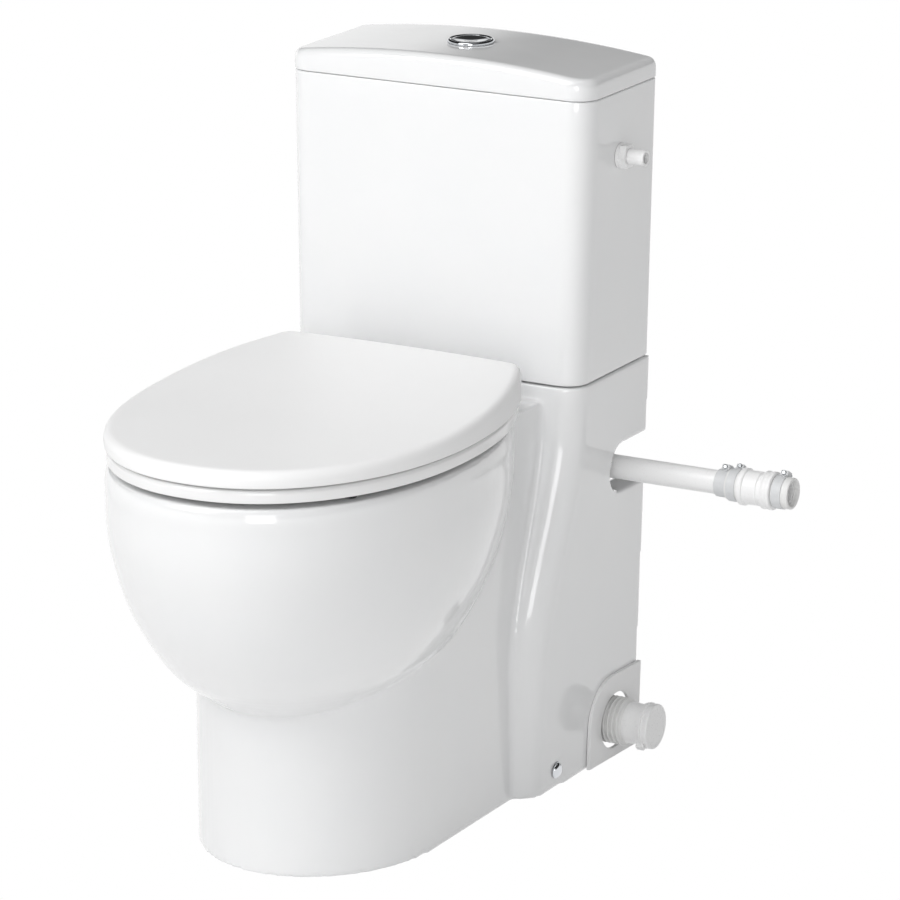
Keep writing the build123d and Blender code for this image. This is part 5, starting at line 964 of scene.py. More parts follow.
@dataclass
class Seat:
    """Seat ring and lid with their hinge lugs, on one axis behind the bowl."""

    half_width: float = 183.7
    front: float = 247.0
    rear: float = 296.0
    centre: float = 424.0
    back: float = 232.0
    power: float = 2.12
    corner: float = 18.0
    ring_base: float = 435.5
    ring_top: float = 448.5
    ring_edge: float = 4.0
    ring_foot_edge: float = 1.6
    ring_roll: float = 9.0
    hole: tuple[float, float, float] = (116.0, 168.0, 138.0)
    hole_centre: float = 446.0
    lid_base: float = 451.2
    lid_edge: float = 9.0
    lid_crown: float = 4.0
    lid_rise: float = 34.5
    lid_profile: tuple[Pair, ...] = (
        (-0.10, 0.40), (0.25, 0.45), (0.52, 0.56), (0.80, 0.82), (1.0, 1.0), (1.12, 1.1))
    lid_wall: float = 6.0
    lid_margin: float = 22.0
    lid_lap: float = 2.2
    lid_lip: float = 1.8
    lid_fillet: float = 5.0
    lid_middle: float = -440.0
    overrun: float = 20.0
    hinge_depth: float = 216.0
    hinge_height: float = 458.0
    lug_radius: float = 8.0
    pin_radius: float = 4.05
    pin_clear: float = 4.2
    lug_root: float = 4.0
    lug_width: float = 12.0
    ring_lug: float = 56.0
    lid_lug: float = 98.0
    front_count: int = 120
    side_count: int = 14
    back_count: int = 20

    def outline(self) -> list[Pair]:
        """Plan of the seat, counter-clockwise from the right rear corner, round at its corners."""
        rise = (self.centre - self.back) / self.rear
        corner = Vector((self.half_width * math.sqrt(1 - rise**2), -self.back))
        lean = Vector((-self.half_width * rise, self.rear * math.sqrt(1 - rise**2))).normalized()
        reach = self.corner * math.tan(lean.angle(Vector((-1, 0))) / 2)
        start, end = corner - lean * reach, corner + Vector((-reach, 0))
        top = math.asin((start.y + self.centre) / self.rear)
        right = [(self.half_width * math.cos(top * s / self.side_count),
                  -self.centre + self.rear * math.sin(top * s / self.side_count)) for s in range(1, self.side_count)]
        normal = Vector((lean.y, -lean.x))
        hub = start - normal * self.corner
        turn = lean.angle(Vector((-1, 0)))
        arc = []
        for s in range(9):
            spoke = normal.copy()
            spoke.rotate(Matrix.Rotation(turn * s / 8, 2))
            arc.append((hub.x + self.corner * spoke.x, hub.y + self.corner * spoke.y))
        half_back = end.x * 2 / self.back_count
        flat = [(end.x - half_back * s, -self.back) for s in range(1, self.back_count)]
        left = [(-x, y) for x, y in reversed(right + arc)]
        return right + arc + flat + left + nose(self.half_width, self.front, self.centre, self.power, self.front_count)

    def hole_outline(self) -> list[Pair]:
        """Plan of the ring's hole with as many points as the seat's own, matched all round."""
        half, front, rear = self.hole
        rear_count = 2 * (self.side_count - 1) + 18 + self.back_count - 1
        turns = [math.pi * s / (rear_count + 1) for s in range(1, rear_count + 1)]
        plan = [(half * math.cos(a), -self.hole_centre + rear * math.sin(a)) for a in turns]
        return plan + nose(half, front, self.hole_centre, self.power, self.front_count)

    def lid_top(self, x: float, y: float) -> float:
        """Height of the lid's top: a wedge that rises to the hinge, crowned across."""
        length = self.centre + self.front - self.back
        share = (self.centre + self.front + y) / length
        reach = self.half_width + self.overrun
        crown = self.lid_crown * (1 - (x / reach) ** 2)
        return self.lid_base + smooth_table(self.lid_profile, share) * self.lid_rise + crown

    def lug(self, offset: float, arm: list[Pair]) -> Form:
        """Hinge lug: an eye round the pin and an arm into the seat.

        Args:
            offset: Distance from the centre line, negative on the left.
            arm: Outline of the arm, as (depth axis, height) pairs.

        Returns:
            Both shells of the lug.
        """
        rings = []
        half = self.lug_width / 2
        for radius, x in ((self.pin_radius, -half), (self.pin_radius, half), (self.lug_radius - 0.8, half),
                          (self.lug_radius, half - 0.8), (self.lug_radius, 0.8 - half), (self.lug_radius - 0.8, -half)):
            rings.append(upright(circle(radius, 40, (-self.hinge_depth, self.hinge_height)), offset + x))
        plan = counter_clockwise(arm)
        block = Form().rings([upright(grown(plan, g), offset + x) for x, g in (
            (-half, -0.7), (0.7 - half, 0.0), (half - 0.7, 0.0), (half, -0.7))])
        return Form().rings(rings, looped=True).joined(block)

    def build_ring(self) -> None:
        """Build the ring: round edges, a top that dips softly to the hole, and two lugs."""
        outer, hole = self.outline(), self.hole_outline()
        edge, foot = self.ring_edge, self.ring_foot_edge
        base, top, dip, roll = self.ring_base, self.ring_top, 0.7 * self.ring_edge, self.ring_roll
        arc = quarter(5)
        rings = [at_height(grown(outer, -foot * (1 - math.sin(a))), base + foot * (1 - math.cos(a))) for a in arc]
        rings += [at_height(grown(outer, -edge * (1 - math.cos(a))), top - edge * (1 - math.sin(a))) for a in arc]
        rings += [at_height(grown(hole, roll * (1 - math.sin(a))), top - dip * (1 - math.cos(a))) for a in arc]
        rings += [at_height(grown(hole, edge * (1 - math.cos(a))), base + edge * (1 - math.sin(a))) for a in arc]
        ring = Form().rings(rings, looped=True)
        root, eye_rear = -self.back - self.lug_root, -self.hinge_depth - self.pin_clear
        step = self.lug_radius - 4
        arm = [(root, base + edge), (root, top - step), (-self.back + step, top),
               (-self.hinge_depth - self.lug_radius + 0.6, self.hinge_height), (eye_rear, self.hinge_height),
               (eye_rear, self.hinge_height - self.lug_radius + 1.2), (-self.back + self.lug_radius, base + edge)]
        for side in (-1, 1):
            ring.joined(self.lug(side * self.ring_lug, arm))
        piece = ring.piece("ring_seat", 45)
        mount(piece, "ring_body", SEAT_PLASTIC, "seat_ring", slot="white_plastic")

    def build_lid(self) -> None:
        """Build the lid: crowned wedge that laps a little past the ring, hollow beneath, and two lugs."""
        outer = grown(self.outline(), self.lid_lap)
        arc = quarter(6)
        middle, lip, fillet = self.lid_middle, self.lid_lip, self.lid_fillet

        def spread(plan: list[Pair], share: float, drop: float) -> list[Point]:
            """Ring shrunk toward the middle, on the lid's top less a drop."""
            return under([(x * share, middle + (y - middle) * share) for x, y in plan], drop)

        def under(plan: list[Pair], drop: float) -> list[Point]:
            """Ring on the lid's top less a drop."""
            return [(x, y, self.lid_top(x, y) - drop) for x, y in plan]

        inner = grown(outer, -self.lid_margin)
        rings = [spread(inner, s, self.lid_wall) for s in (0.02, 0.25, 0.5, 0.75, 0.92)]
        rings += [under(grown(inner, -fillet * (1 - math.sin(a))), self.lid_wall + fillet * (1 - math.cos(a)))
                  for a in arc]
        rings += [at_height(grown(inner, 1.0), self.lid_base)]
        rings += [at_height(grown(outer, -lip * (1 - math.sin(a))), self.lid_base + lip * (1 - math.cos(a)))
                  for a in arc]
        rings += [under(outer, self.lid_edge + 0.5)]
        rings += [under(grown(outer, -self.lid_edge * (1 - math.cos(a))), self.lid_edge * (1 - math.sin(a)))
                  for a in arc]
        brow = grown(outer, -self.lid_edge)
        rings += [spread(brow, s, 0.0) for s in (0.985, 0.95, 0.88, 0.75, 0.6, 0.45, 0.3, 0.15, 0.02)]
        lid = Form().rings(rings)
        root, eye_rear = -self.back - self.lug_root, -self.hinge_depth - self.pin_clear
        pin_top, eye_top = self.hinge_height + self.pin_clear, self.hinge_height + self.lug_radius
        arm = [(root, self.hinge_height - 4), (root, eye_top), (-self.hinge_depth, eye_top),
               (-self.hinge_depth, pin_top), (eye_rear, pin_top),
               (eye_rear, self.hinge_height - self.lug_radius + 0.6)]
        for side in (-1, 1):
            lid.joined(self.lug(side * self.lid_lug, arm))
        piece = lid.piece("lid_seat", 45)
        mount(piece, "lid_body", LID_PLASTIC, "seat_lid", slot="white_plastic")

    def build(self) -> None:
        """Build the ring and the lid."""
        self.build_ring()
        self.build_lid()


@dataclass
class FlushButtons:
    """Chrome bezel and the two dished halves of the dual-flush button, with their rods."""

    depth: float = 84.0
    radius: float = 20.2
    gap: float = 0.4
    split: float = 6.5
    thickness: float = 9.0
    dish: float = 1.4
    bezel_radius: float = 25.2
    bezel_base: float = 787.4
    bezel_height: float = 3.6
    tube_wall: float = 1.4
    tube_length: float = 36.0
    shoulder: float = 2.0
    travel: float = 6.0
    rod_radius: float = 3.0
    rod_foot: float = 692.5
    rod_offsets: Pair = (-8.0, 12.5)

    @property
    def top(self) -> float:
        """Height of the buttons' rim."""
        return self.bezel_base + self.bezel_height * 5 / 6

    @property
    def foot(self) -> float:
        """Height of the buttons' underside."""
        return self.top - self.thickness

    def build_bezel(self) -> None:
        """Turn the bezel: a rolled lip over a threaded tube that passes through the lid."""
        bore = self.radius + self.gap
        ledge = self.foot - self.travel - 0.3
        low = self.bezel_base - self.tube_length
        outer = bore + self.tube_wall
        crest = (self.bezel_radius + bore) / 2
        half = (self.bezel_radius - bore) / 2
        base = self.bezel_base + self.bezel_height / 3
        lip = [(base + (self.bezel_height * 2 / 3) * math.sin(math.pi * s / 12),
                crest + half * math.cos(math.pi * s / 12)) for s in range(13)]
        thread = [(low + 3 + i * 0.75, outer - (0.25 if i % 2 else 0.0)) for i in range(36)]
        stations = [(ledge, bore), (ledge, bore - self.shoulder), (ledge - self.shoulder, bore - self.shoulder),
                    (ledge - self.shoulder, bore), (low, bore), (low, outer)] + thread
        stations += [(self.bezel_base, outer), (self.bezel_base, self.bezel_radius - 0.2),
                     (self.bezel_base + 0.3, self.bezel_radius)] + lip
        form = Form().turned(stations, 128).moved(Matrix.Translation((0, -self.depth, 0)))
        mount(form.piece("bezel_chrome", 40), "toilet_body", CHROME, "button_bezel", slot="bright_chrome")

    def build_half(self, side: int, name: str, body: str, node: str, rod: float) -> None:
        """Build one half of the button.

        Args:
            side: 1 for the right half, -1 for the left.
            name: Name of the piece.
            body: Body that it moves with.
            node: Solid that it stands for.
            rod: Place of its rod across the cistern.
        """
        dished = [(self.top - self.dish * math.cos(math.pi / 2 * s / 10) ** 2, self.radius * (0.98 * s / 10))
                  for s in range(1, 11)]
        stations = [(self.foot, AXIS), (self.top - self.dish, AXIS)] + dished
        stations += [(self.top - 0.05, self.radius - 0.15), (self.top - 0.25, self.radius),
                     (self.foot + 0.4, self.radius), (self.foot, self.radius - 0.4)]
        disc = Form().turned(stations, 128).piece(name, 30)
        edge = self.split + side * self.gap / 2
        block = [(edge, -30), (edge + side * 60, -30), (edge + side * 60, 30), (edge, 30)]
        tool = Form().slab(block, self.foot - 5, self.top + 5).piece("half_tool")
        combine(disc, tool, "INTERSECT")
        shank = Form().slab(circle(self.rod_radius, 24, (rod, 0.0)), self.rod_foot, self.foot + 1, 0.6)
        combine(disc, shank.piece("rod_tool"), "UNION")
        disc.data.transform(Matrix.Translation((0, -self.depth * MM, 0)))
        tidy(disc, 30)
        bevel(disc, 0.25, 2, 40)
        mount(disc, body, CHROME, node, slot="bright_chrome")

    def build(self) -> None:
        """Build the bezel and both halves."""
        self.build_bezel()
        self.build_half(-1, "full_button_chrome", "full_button_body", "full_flush_button", self.rod_offsets[0])
        self.build_half(1, "half_button_chrome", "half_button_body", "half_flush_button", self.rod_offsets[1])


@dataclass
class Line:
    """Pipework whose axis runs across the toilet at one depth and height."""

    depth: float
    height: float

    def about(self, degrees: float) -> Matrix:
        """Matrix that turns a form about the line and sets it in its place."""
        return Matrix.Translation((0, -self.depth, self.height)) @ Matrix.Rotation(math.radians(degrees), 4, "X")

    def laid(self, form: Form) -> Form:
        """Lay a form turned about +Z along the line."""
        return form.moved(Matrix.Translation((0, -self.depth, self.height)) @ Matrix.Rotation(math.pi / 2, 4, "Y"))

    def turn_piece(self, name: str, section: list[Pair], sharp: float, finish: Finish, node: str,
                   sides: int = 96) -> None:
        """Turn a section about the line and mount it.

        Args:
            name: Name of the piece.
            section: (along the line, radius) pairs.
            sharp: Edges that turn by more degrees than this stay crisp.
            finish: Its finish.
            node: Solid that it stands for.
            sides: Sides of each circle.
        """
        form = self.laid(Form().turned(section, sides))
        mount(form.piece(name, sharp), "toilet_body", finish, node, slot="white_plastic")


@dataclass
class Discharge(Line):
    """Discharge pipe through the notch, its couplings, non-return valve and hose clips."""

    depth: float = 50.0
    height: float = 331.0
    pipe_start: float = 142.0
    pipe_end: float = 298.0
    pipe_radius: float = 13.0
    pipe_wall: float = 2.5
    sleeve: tuple[Pair, ...] = (
        (283.5, 13.15), (312.8, 13.15), (312.8, 16.0), (312.3, 16.6), (311.6, 16.85), (298.4, 16.85), (297.7, 16.5),
        (297.5, 15.9), (297.3, 14.4), (296.8, 14.0), (284.1, 14.0), (283.7, 13.8), (283.5, 13.5))
    valve: tuple[Pair, ...] = (
        (299, 10.5), (315, 10.5), (315, 10), (317, 10), (317, 16), (345, 16), (345, 12), (366, 12), (366, 14.1),
        (365.6, 14.5), (351.6, 14.5), (351.5, 19.6), (351.2, 20.3), (350.5, 20.65), (347.4, 20.65), (346.9, 20.2),
        (346.4, 19.9), (343.0, 19.9), (342.5, 20.2), (342.0, 20.65), (340.5, 20.65), (339.8, 20.3), (339.5, 19.6),
        (339.2, 17.5), (338.8, 17.2), (335.7, 17.2), (335.2, 17.5), (335.0, 18.1), (334.6, 18.5), (319.5, 18.5),
        (319.0, 19.2), (318.8, 19.8), (318.2, 20.25), (313.9, 20.25), (313.3, 20.0), (313.0, 19.4), (312.95, 17.2),
        (312.95, 13.0), (299.4, 13.0), (299.0, 12.6))
    outlet: tuple[Pair, ...] = (
        (352, 14.65), (366.3, 14.65), (366.3, 13.75), (371.4, 13.75), (371.9, 14.3), (372, 15.3), (371.9, 16.3),
        (371.3, 16.9), (370.4, 17.0), (352.6, 17.0), (352.1, 16.8), (352, 16.3))
    clip_starts: tuple[float, ...] = (284.5, 300.0, 353.0)
    clip_widths: tuple[float, ...] = (13.0, 10.0, 11.0)
    clip_radii: tuple[float, ...] = (14.05, 16.9, 17.05)
    clip_angles: tuple[float, ...] = (25.0, 40.0, 30.0)
    band: float = 0.9
    housing_length: float = 12.0
    housing_width: float = 9.0
    housing_height: float = 6.0
    screw_radius: float = 2.6
    screw_length: float = 15.0
    screw_turns: int = 9
    ridges: int = 26
    ridge_arc: Pair = (58.0, 150.0)
    head_radius: float = 3.4
    head_length: float = 3.0

    def build_pipe(self) -> None:
        """Turn the pipe, the coupling sleeve, the valve and the outlet sleeve."""
        inner = self.pipe_radius - self.pipe_wall
        radius = self.pipe_radius
        pipe = [(self.pipe_start, inner), (self.pipe_end, inner), (self.pipe_end, radius - 0.4),
                (self.pipe_end - 0.4, radius)]
        pipe += [(self.pipe_end - (self.pipe_end - self.pipe_start) * s / 12, radius) for s in range(1, 12)]
        pipe += [(self.pipe_start + 0.4, radius), (self.pipe_start, radius - 0.4)]
        self.turn_piece("pipe_pvc", pipe, 38, PVC, "discharge_pipe")
        self.turn_piece("sleeve_rubber", self.sleeve, 50, SOFT_PVC, "coupling_sleeve")
        self.turn_piece("valve_abs", self.valve, 44, PVC, "discharge_valve", 112)
        self.turn_piece("outlet_rubber", self.outlet, 50, SOFT_PVC, "outlet_sleeve")

    def housing(self, start: float, width: float, radius: float) -> Form:
        """Pressed housing of a clip with its rolled top and flared feet, upright over the pipe.

        Args:
            start: Place of the band's left edge.
            width: Width of the band.
            radius: Inner radius of the band.

        Returns:
            The housing in its place.
        """
        half = self.housing_length / 2
        low = radius + 0.2
        top = radius + self.housing_height
        plan = rounded_corners([(-half, low), (half, low), (half, top), (-half, top)], [0.6, 0.6, 2.4, 2.4], 6)
        middle = start + width / 2
        reach = self.housing_width / 2
        form = Form().rings([upright(grown(counter_clockwise(plan), g), middle + x) for x, g in (
            (-reach, -0.8), (-reach + 0.25, -0.25), (-reach + 0.8, 0.0), (reach - 0.8, 0.0),
            (reach - 0.25, -0.25), (reach, -0.8))])
        for side in (-1, 1):
            foot = []
            for s in range(7):
                angle = side * (half * 0.9 + s * 0.9) / radius
                foot.append(((radius + 0.85) * math.sin(angle), (radius + 0.85) * math.cos(angle)))
            lift = 0.55
            outer = [(y * (1 + lift / radius), z * (1 + lift / radius)) for y, z in foot]
            band = counter_clockwise(foot + outer[::-1])
            span = reach * 0.8
            form.joined(Form().rings([upright(grown(band, g), middle + x) for x, g in (
                (-span, -0.12), (-span + 0.2, 0.0), (span - 0.2, 0.0), (span, -0.12))]))
        return form

    def clip(self, index: int) -> Form:
        """One clip: thin band with rolled edges and pressed slots, and its housing.

        Args:
            index: Place in the tables of clips.

        Returns:
            The clip, turned to its angle about the pipe.
        """
        start, width, radius = self.clip_starts[index], self.clip_widths[index], self.clip_radii[index]
        outer = radius + self.band
        stations = [(start + 0.25, radius), (start + width - 0.25, radius), (start + width, radius + 0.3),
                    (start + width - 0.05, outer - 0.1), (start + width - 0.35, outer),
                    (start + width - 0.8, outer - 0.12), (start + 0.8, outer - 0.12), (start + 0.35, outer),
                    (start + 0.05, outer - 0.1), (start, radius + 0.3)]
        form = Form().turned(stations, 128)
        band = Form(points=[(z, y, -x) for x, y, z in form.points], faces=form.faces)
        first, spread = self.ridge_arc
        for s in range(self.ridges):
            angle = math.radians(first + spread * s / (self.ridges - 1))
            spoke = Vector((0, math.sin(angle), math.cos(angle)))
            across = Vector((0, math.cos(angle), -math.sin(angle)))
            middle = Vector((start + width / 2, 0, 0)) + spoke * (outer - 0.16)
            lean = Vector((width * 0.28, 0, 0)) + across * 0.5
            rings = []
            for lift, half in ((0.0, 0.42), (0.22, 0.3)):
                base = middle + spoke * lift
                rings.append([tuple(base + lean + across * half), tuple(base + lean - across * half),
                              tuple(base - lean - across * half), tuple(base - lean + across * half)])
            band.joined(Form().rings(rings))
        band.joined(self.housing(start, width, radius))
        return band

    def screw(self, index: int) -> Form:
        """Worm screw of a clip: threaded shank through the housing and a slotted round head at the rear."""
        start, width, radius = self.clip_starts[index], self.clip_widths[index], self.clip_radii[index]
        shank = self.screw_radius
        stations = [(-self.screw_length / 2, AXIS), (-self.screw_length / 2, shank * 0.7)]
        for s in range(self.screw_turns):
            at = -self.screw_length / 2 + 0.6 + s * self.screw_length / self.screw_turns
            stations += [(at, shank), (at + 0.8, shank * 0.8)]
        head = self.screw_length / 2
        stations += [(head, shank * 0.8), (head, self.head_radius - 0.3), (head + 0.3, self.head_radius),
                     (head + self.head_length - 0.9, self.head_radius),
                     (head + self.head_length - 0.2, self.head_radius * 0.82),
                     (head + self.head_length, self.head_radius * 0.5), (head + self.head_length, AXIS)]
        lift = radius + self.housing_height / 2
        form = Form().turned(stations, 40)
        return Form(points=[(start + width / 2 + x, z, lift + y) for x, y, z in form.points], faces=form.faces)

    def build_clips(self) -> None:
        """Build the three clips and their screws, each turned to its own angle."""
        clips, screws = Form(), Form()
        slots = []
        for index, angle in enumerate(self.clip_angles):
            turn = self.about(-angle)
            clips.joined(self.clip(index).moved(turn))
            screws.joined(self.screw(index).moved(turn))
            middle = self.clip_starts[index] + self.clip_widths[index] / 2
            lift = self.clip_radii[index] + self.housing_height / 2
            end = self.screw_length / 2 + self.head_length
            slot = Form().rings([[(middle - 4, end - 1.1, z), (middle + 4, end - 1.1, z), (middle + 4, end + 1, z),
                                  (middle - 4, end + 1, z)] for z in (lift - 0.45, lift + 0.45)])
            slots.append(slot.moved(turn))
        bands = clips.piece("clips_steel", 30)
        bevel(bands, 0.12, 2, 40)
        mount(bands, "toilet_body", ZINC_FLAKE, "hose_clips", slot="stainless_steel")
        worm = screws.piece("clip_screws_steel", 30)
        for slot in slots:
            combine(worm, slot.piece("slot_tool"), "DIFFERENCE")
        tidy(worm, 30)
        mount(worm, "toilet_body", STEEL, "clip_screws", slot="stainless_steel")

    def build(self) -> None:
        """Build the pipework and its clips."""
        self.build_pipe()
        self.build_clips()


@dataclass
class LowInlet(Line):
    """Low inlet on the right: bellows, fitting, blanking cap and the cover plate around them."""

    depth: float = 52.0
    height: float = 43.0
    bellows_start: float = 118.3
    first_rib: float = 123.0
    bellows_end: float = 182.0
    pitch: float = 5.3
    ribs: int = 11
    bore: float = 18.3
    root: float = 21.8
    crest: float = 26.3
    fitting_end: float = 209.0
    collars: tuple[Pair, ...] = (
        (209.0, 23.8), (208.7, 24.1), (206.4, 24.1), (206.1, 24.4), (206.0, 25.2), (205.6, 25.6), (203.5, 25.6),
        (203.1, 25.3), (203.0, 24.9), (202.6, 24.7), (200.6, 24.7), (200.2, 24.5), (200.0, 24.0), (199.8, 22.2),
        (199.2, 22.0), (194.0, 22.3), (188.0, 22.7))
    cap_end: float = 214.0
    cap_radius: float = 25.0
    lug_angle: float = -135.0
    plate_depth: float = 107.0
    plate_height: float = 97.0
    plate_corner: float = 48.0
    plate_hole: float = 32.0
    plate_gap: float = 0.6
    plate_thickness: float = 4.0
    plate_edge: float = 0.7
    plate_holes: Pair = (16.0, 54.0)

    def build_bellows(self) -> None:
        """Blow the bellows: round crests over narrow grooves, plain cuffs at both ends."""
        outer = [(self.bellows_start, self.root - 0.4), (self.bellows_start + 0.4, self.root)]
        middle = (self.root + self.crest) / 2
        swing = (self.crest - self.root) / 2
        start = self.first_rib - 0.2 * self.pitch
        steps = self.ribs * 14
        for s in range(steps + 1):
            turn = 2 * math.pi * self.ribs * s / steps
            wave = -math.cos(turn)
            full = math.copysign(abs(wave) ** 0.62, wave)
            along = start + self.ribs * self.pitch * s / steps
            if along < self.bellows_end - 0.8:
                outer.append((along, middle + swing * full))
        outer += [(self.bellows_end - 0.4, self.root), (self.bellows_end, self.root - 0.4)]
        outer += [(self.bellows_end, self.bore), (self.bellows_start, self.bore)]
        self.turn_piece("bellows_soft", outer, 70, SOFT_PVC, "inlet_bellows", 112)

    def build_fitting(self) -> None:
        """Turn the fitting with its two collars and lug, and the blanking cap in its mouth."""
        end = self.bellows_end + 0.3
        insert, bore = self.bore - 0.3, self.bore - 3.3
        low = self.bellows_end - 8
        stations = [(low, bore), (self.fitting_end, bore), *self.collars, (end + 0.5, 23.0), (end + 0.1, 22.8),
                    (end, 22.3), (end, insert), (low + 0.4, insert), (low, insert - 0.4)]
        form = self.laid(Form().turned(stations, 112))
        lug = rounded_corners([(23.0, -4.0), (29.4, -4.0), (29.4, 4.0), (23.0, 4.0)], [0.6, 1.8, 1.8, 0.6], 5)
        block = Form().rings([upright(grown(counter_clockwise(lug), g), x) for x, g in (
            (200.2, -0.6), (200.8, 0.0), (208.2, 0.0), (208.8, -0.6))])
        form.joined(block.moved(self.about(self.lug_angle)))
        mount(form.piece("fitting_pvc", 44), "toilet_body", PVC, "inlet_fitting", slot="white_plastic")
        plug = bore - 0.15
        low = self.fitting_end + 0.3
        edge = self.cap_radius
        rim = [(self.cap_end - 1.6 * (1 - math.sin(a)), edge - 1.6 * (1 - math.cos(a))) for a in quarter(6)]
        cap = [(low - 16, plug - 3), (low - 16, plug), (low, plug), (low, edge - 0.4), (low + 0.4, edge)]
        cap += [(self.cap_end - 2.2, edge)] + rim
        cap += [(self.cap_end, edge - 3.4), (self.cap_end - 0.5, edge - 3.8), (self.cap_end - 0.55, AXIS),
                (low, AXIS), (low, plug - 3)]
        self.turn_piece("cap_pvc", cap, 40, PVC, "blanking_cap", 112)

    def plate_frame(self) -> Matrix:
        """Matrix from the plate's own plane (toward the wall, up, outward) to the toilet's frame."""
        pan = Pan()
        middle = self.plate_height / 2
        rear = Vector((pan.side(0, 0) + self.plate_gap, 0, 0))
        front = Vector((pan.side(self.plate_depth, middle) + self.plate_gap, -self.plate_depth, middle))
        top = Vector((pan.side(0, self.plate_height) + self.plate_gap, 0, self.plate_height))
        normal = (rear - front).cross(top - rear).normalized()
        along = Vector((0, 0, 1)).cross(normal).normalized()
        up = normal.cross(along)
        return Matrix.Translation(rear) @ Matrix((along, up, normal)).transposed().to_4x4()

    def build_plate(self) -> None:
        """Mould the cover plate with its quarter-round corner, the large hole and softened edges."""
        corners = [(0.0, self.plate_gap), (0.0, self.plate_height), (-self.plate_depth, self.plate_height),
                   (-self.plate_depth, self.plate_gap)]
        outline = np.array(rounded_corners(corners, [0.8, 0.8, self.plate_corner, 0.8], 24))
        dense = []
        for i, point in enumerate(outline):
            following = outline[(i + 1) % len(outline)]
            count = max(1, int(np.linalg.norm(following - point) // 2))
            dense += [tuple(point + (following - point) * s / count) for s in range(count)]
        plan = counter_clockwise(dense)
        hub = (-self.depth, self.height)
        hole = []
        for x, y in plan:
            angle = math.atan2(y - hub[1], x - hub[0])
            hole.append((hub[0] + self.plate_hole * math.cos(angle), hub[1] + self.plate_hole * math.sin(angle)))
        edge, high = self.plate_edge, self.plate_thickness
        arc = quarter(3)
        rings = [at_height(grown(plan, -edge * (1 - math.cos(a))), high - edge * (1 - math.sin(a))) for a in arc]
        rings += [at_height(grown(hole, edge * (1 - math.sin(a))), high - edge * (1 - math.cos(a))) for a in arc]
        rings += [at_height(hole, 0.0), at_height(plan, 0.0)]
        piece = Form().rings(rings, looped=True).moved(self.plate_frame()).piece("plate_abs", 50)
        for depth in self.plate_holes:
            x = Pan().side(depth, self.plate_height) + self.plate_gap + self.plate_thickness / 2
            hole = Form().slab(circle(1.0, 20, (x, -depth)), self.plate_height - 3, self.plate_height + 4)
            combine(piece, hole.piece("hole_tool"), "DIFFERENCE")
        tidy(piece, 50)
        mount(piece, "toilet_body", PLATE_ABS, "side_plate", slot="white_plastic")

    def build(self) -> None:
        """Build the bellows, the fitting with its cap, and the plate."""
        self.build_bellows()
        self.build_fitting()
        self.build_plate()


@dataclass
class SmallMetal:
    """Domed chrome caps over the screws low on both sides of the column."""

    depth: float = 172.0
    height: float = 21.0
    radius: float = 9.25
    rise: float = 5.0
    rim_height: float = 0.8
    rim_width: float = 1.0
    standoff: float = 0.8

    def build(self) -> None:
        """Spin both caps: a flat rim that carries a full dome."""
        base = Pan().side(self.depth, self.height) + self.standoff
        rim, wide = self.rim_height, self.radius - self.rim_width
        dome = [(rim + (self.rise - rim) * math.sin(a), wide * math.cos(a) + AXIS) for a in quarter(10)]
        stations = [(0.0, self.radius - 1.6), (0.0, self.radius - 0.3), (0.3, self.radius), (0.6, self.radius - 0.2),
                    (0.8, self.radius - 0.7)] + dome
        stations += [(3.4, AXIS), (2.9, 6.4), (0.6, 6.6)]
        caps = Form()
        for side in (-1, 1):
            turn = Matrix.Translation((side * base, -self.depth, self.height))
            turn = turn @ Matrix.Rotation(side * math.pi / 2, 4, "Y")
            caps.joined(Form().turned(stations, 64).moved(turn))
        mount(caps.piece("caps_chrome", 50), "toilet_body", CHROME, "screw_caps", slot="bright_chrome")


@dataclass
class InnerWorks:
    """Solids that keep their own mesh: the works in the cistern, the macerator and the fixings."""

    groups: tuple[tuple[Finish, tuple[str, ...]], ...] = (
        (ACETAL, ("flush_valve_base", "flush_valve_tower", "overflow_tube", "fill_valve_float")),
        (NYLON, ("flush_valve_nut", "bezel_nut", "wing_nuts", "hinge_nuts", "cable_gland", "pump_impeller")),
        (PVC, ("fill_valve_body", "inlet_nut")),
        (EPDM, ("flush_seal", "cistern_gasket", "cistern_washers", "shaft_seal", "pan_connector", "seat_buffers",
                "lid_buffers", "nonreturn_flap")),
        (STEEL, ("cistern_bolts", "hinge_pins", "hinge_bolts", "cover_screws", "motor_bearings", "rotor_shaft",
                 "grinder_blade", "cutter_basket", "flap_pin", "floor_brackets", "floor_screws", "wall_screws")),
        (CHROME, ("hinge_posts",)),
        (CASING_PP, ("macerator_casing", "macerator_cover", "pump_volute", "pump_riser", "discharge_elbow",
                     "pressure_switch")),
        (CAST_METAL, ("motor_housing",)),
        (WINDING, ("motor_stator",)),
    )
    edge_mm: float = 0.35

    def dress(self) -> None:
        """Give each solid that still shows its finish and a small round on its crisp edges."""
        for finish, names in self.groups:
            for name in names:
                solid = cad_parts[name]
                finish_piece(solid, finish)
                bevel(solid, self.edge_mm, 2, 40)
                LOG.info("%s keeps its solid, in %s", name, finish.name)


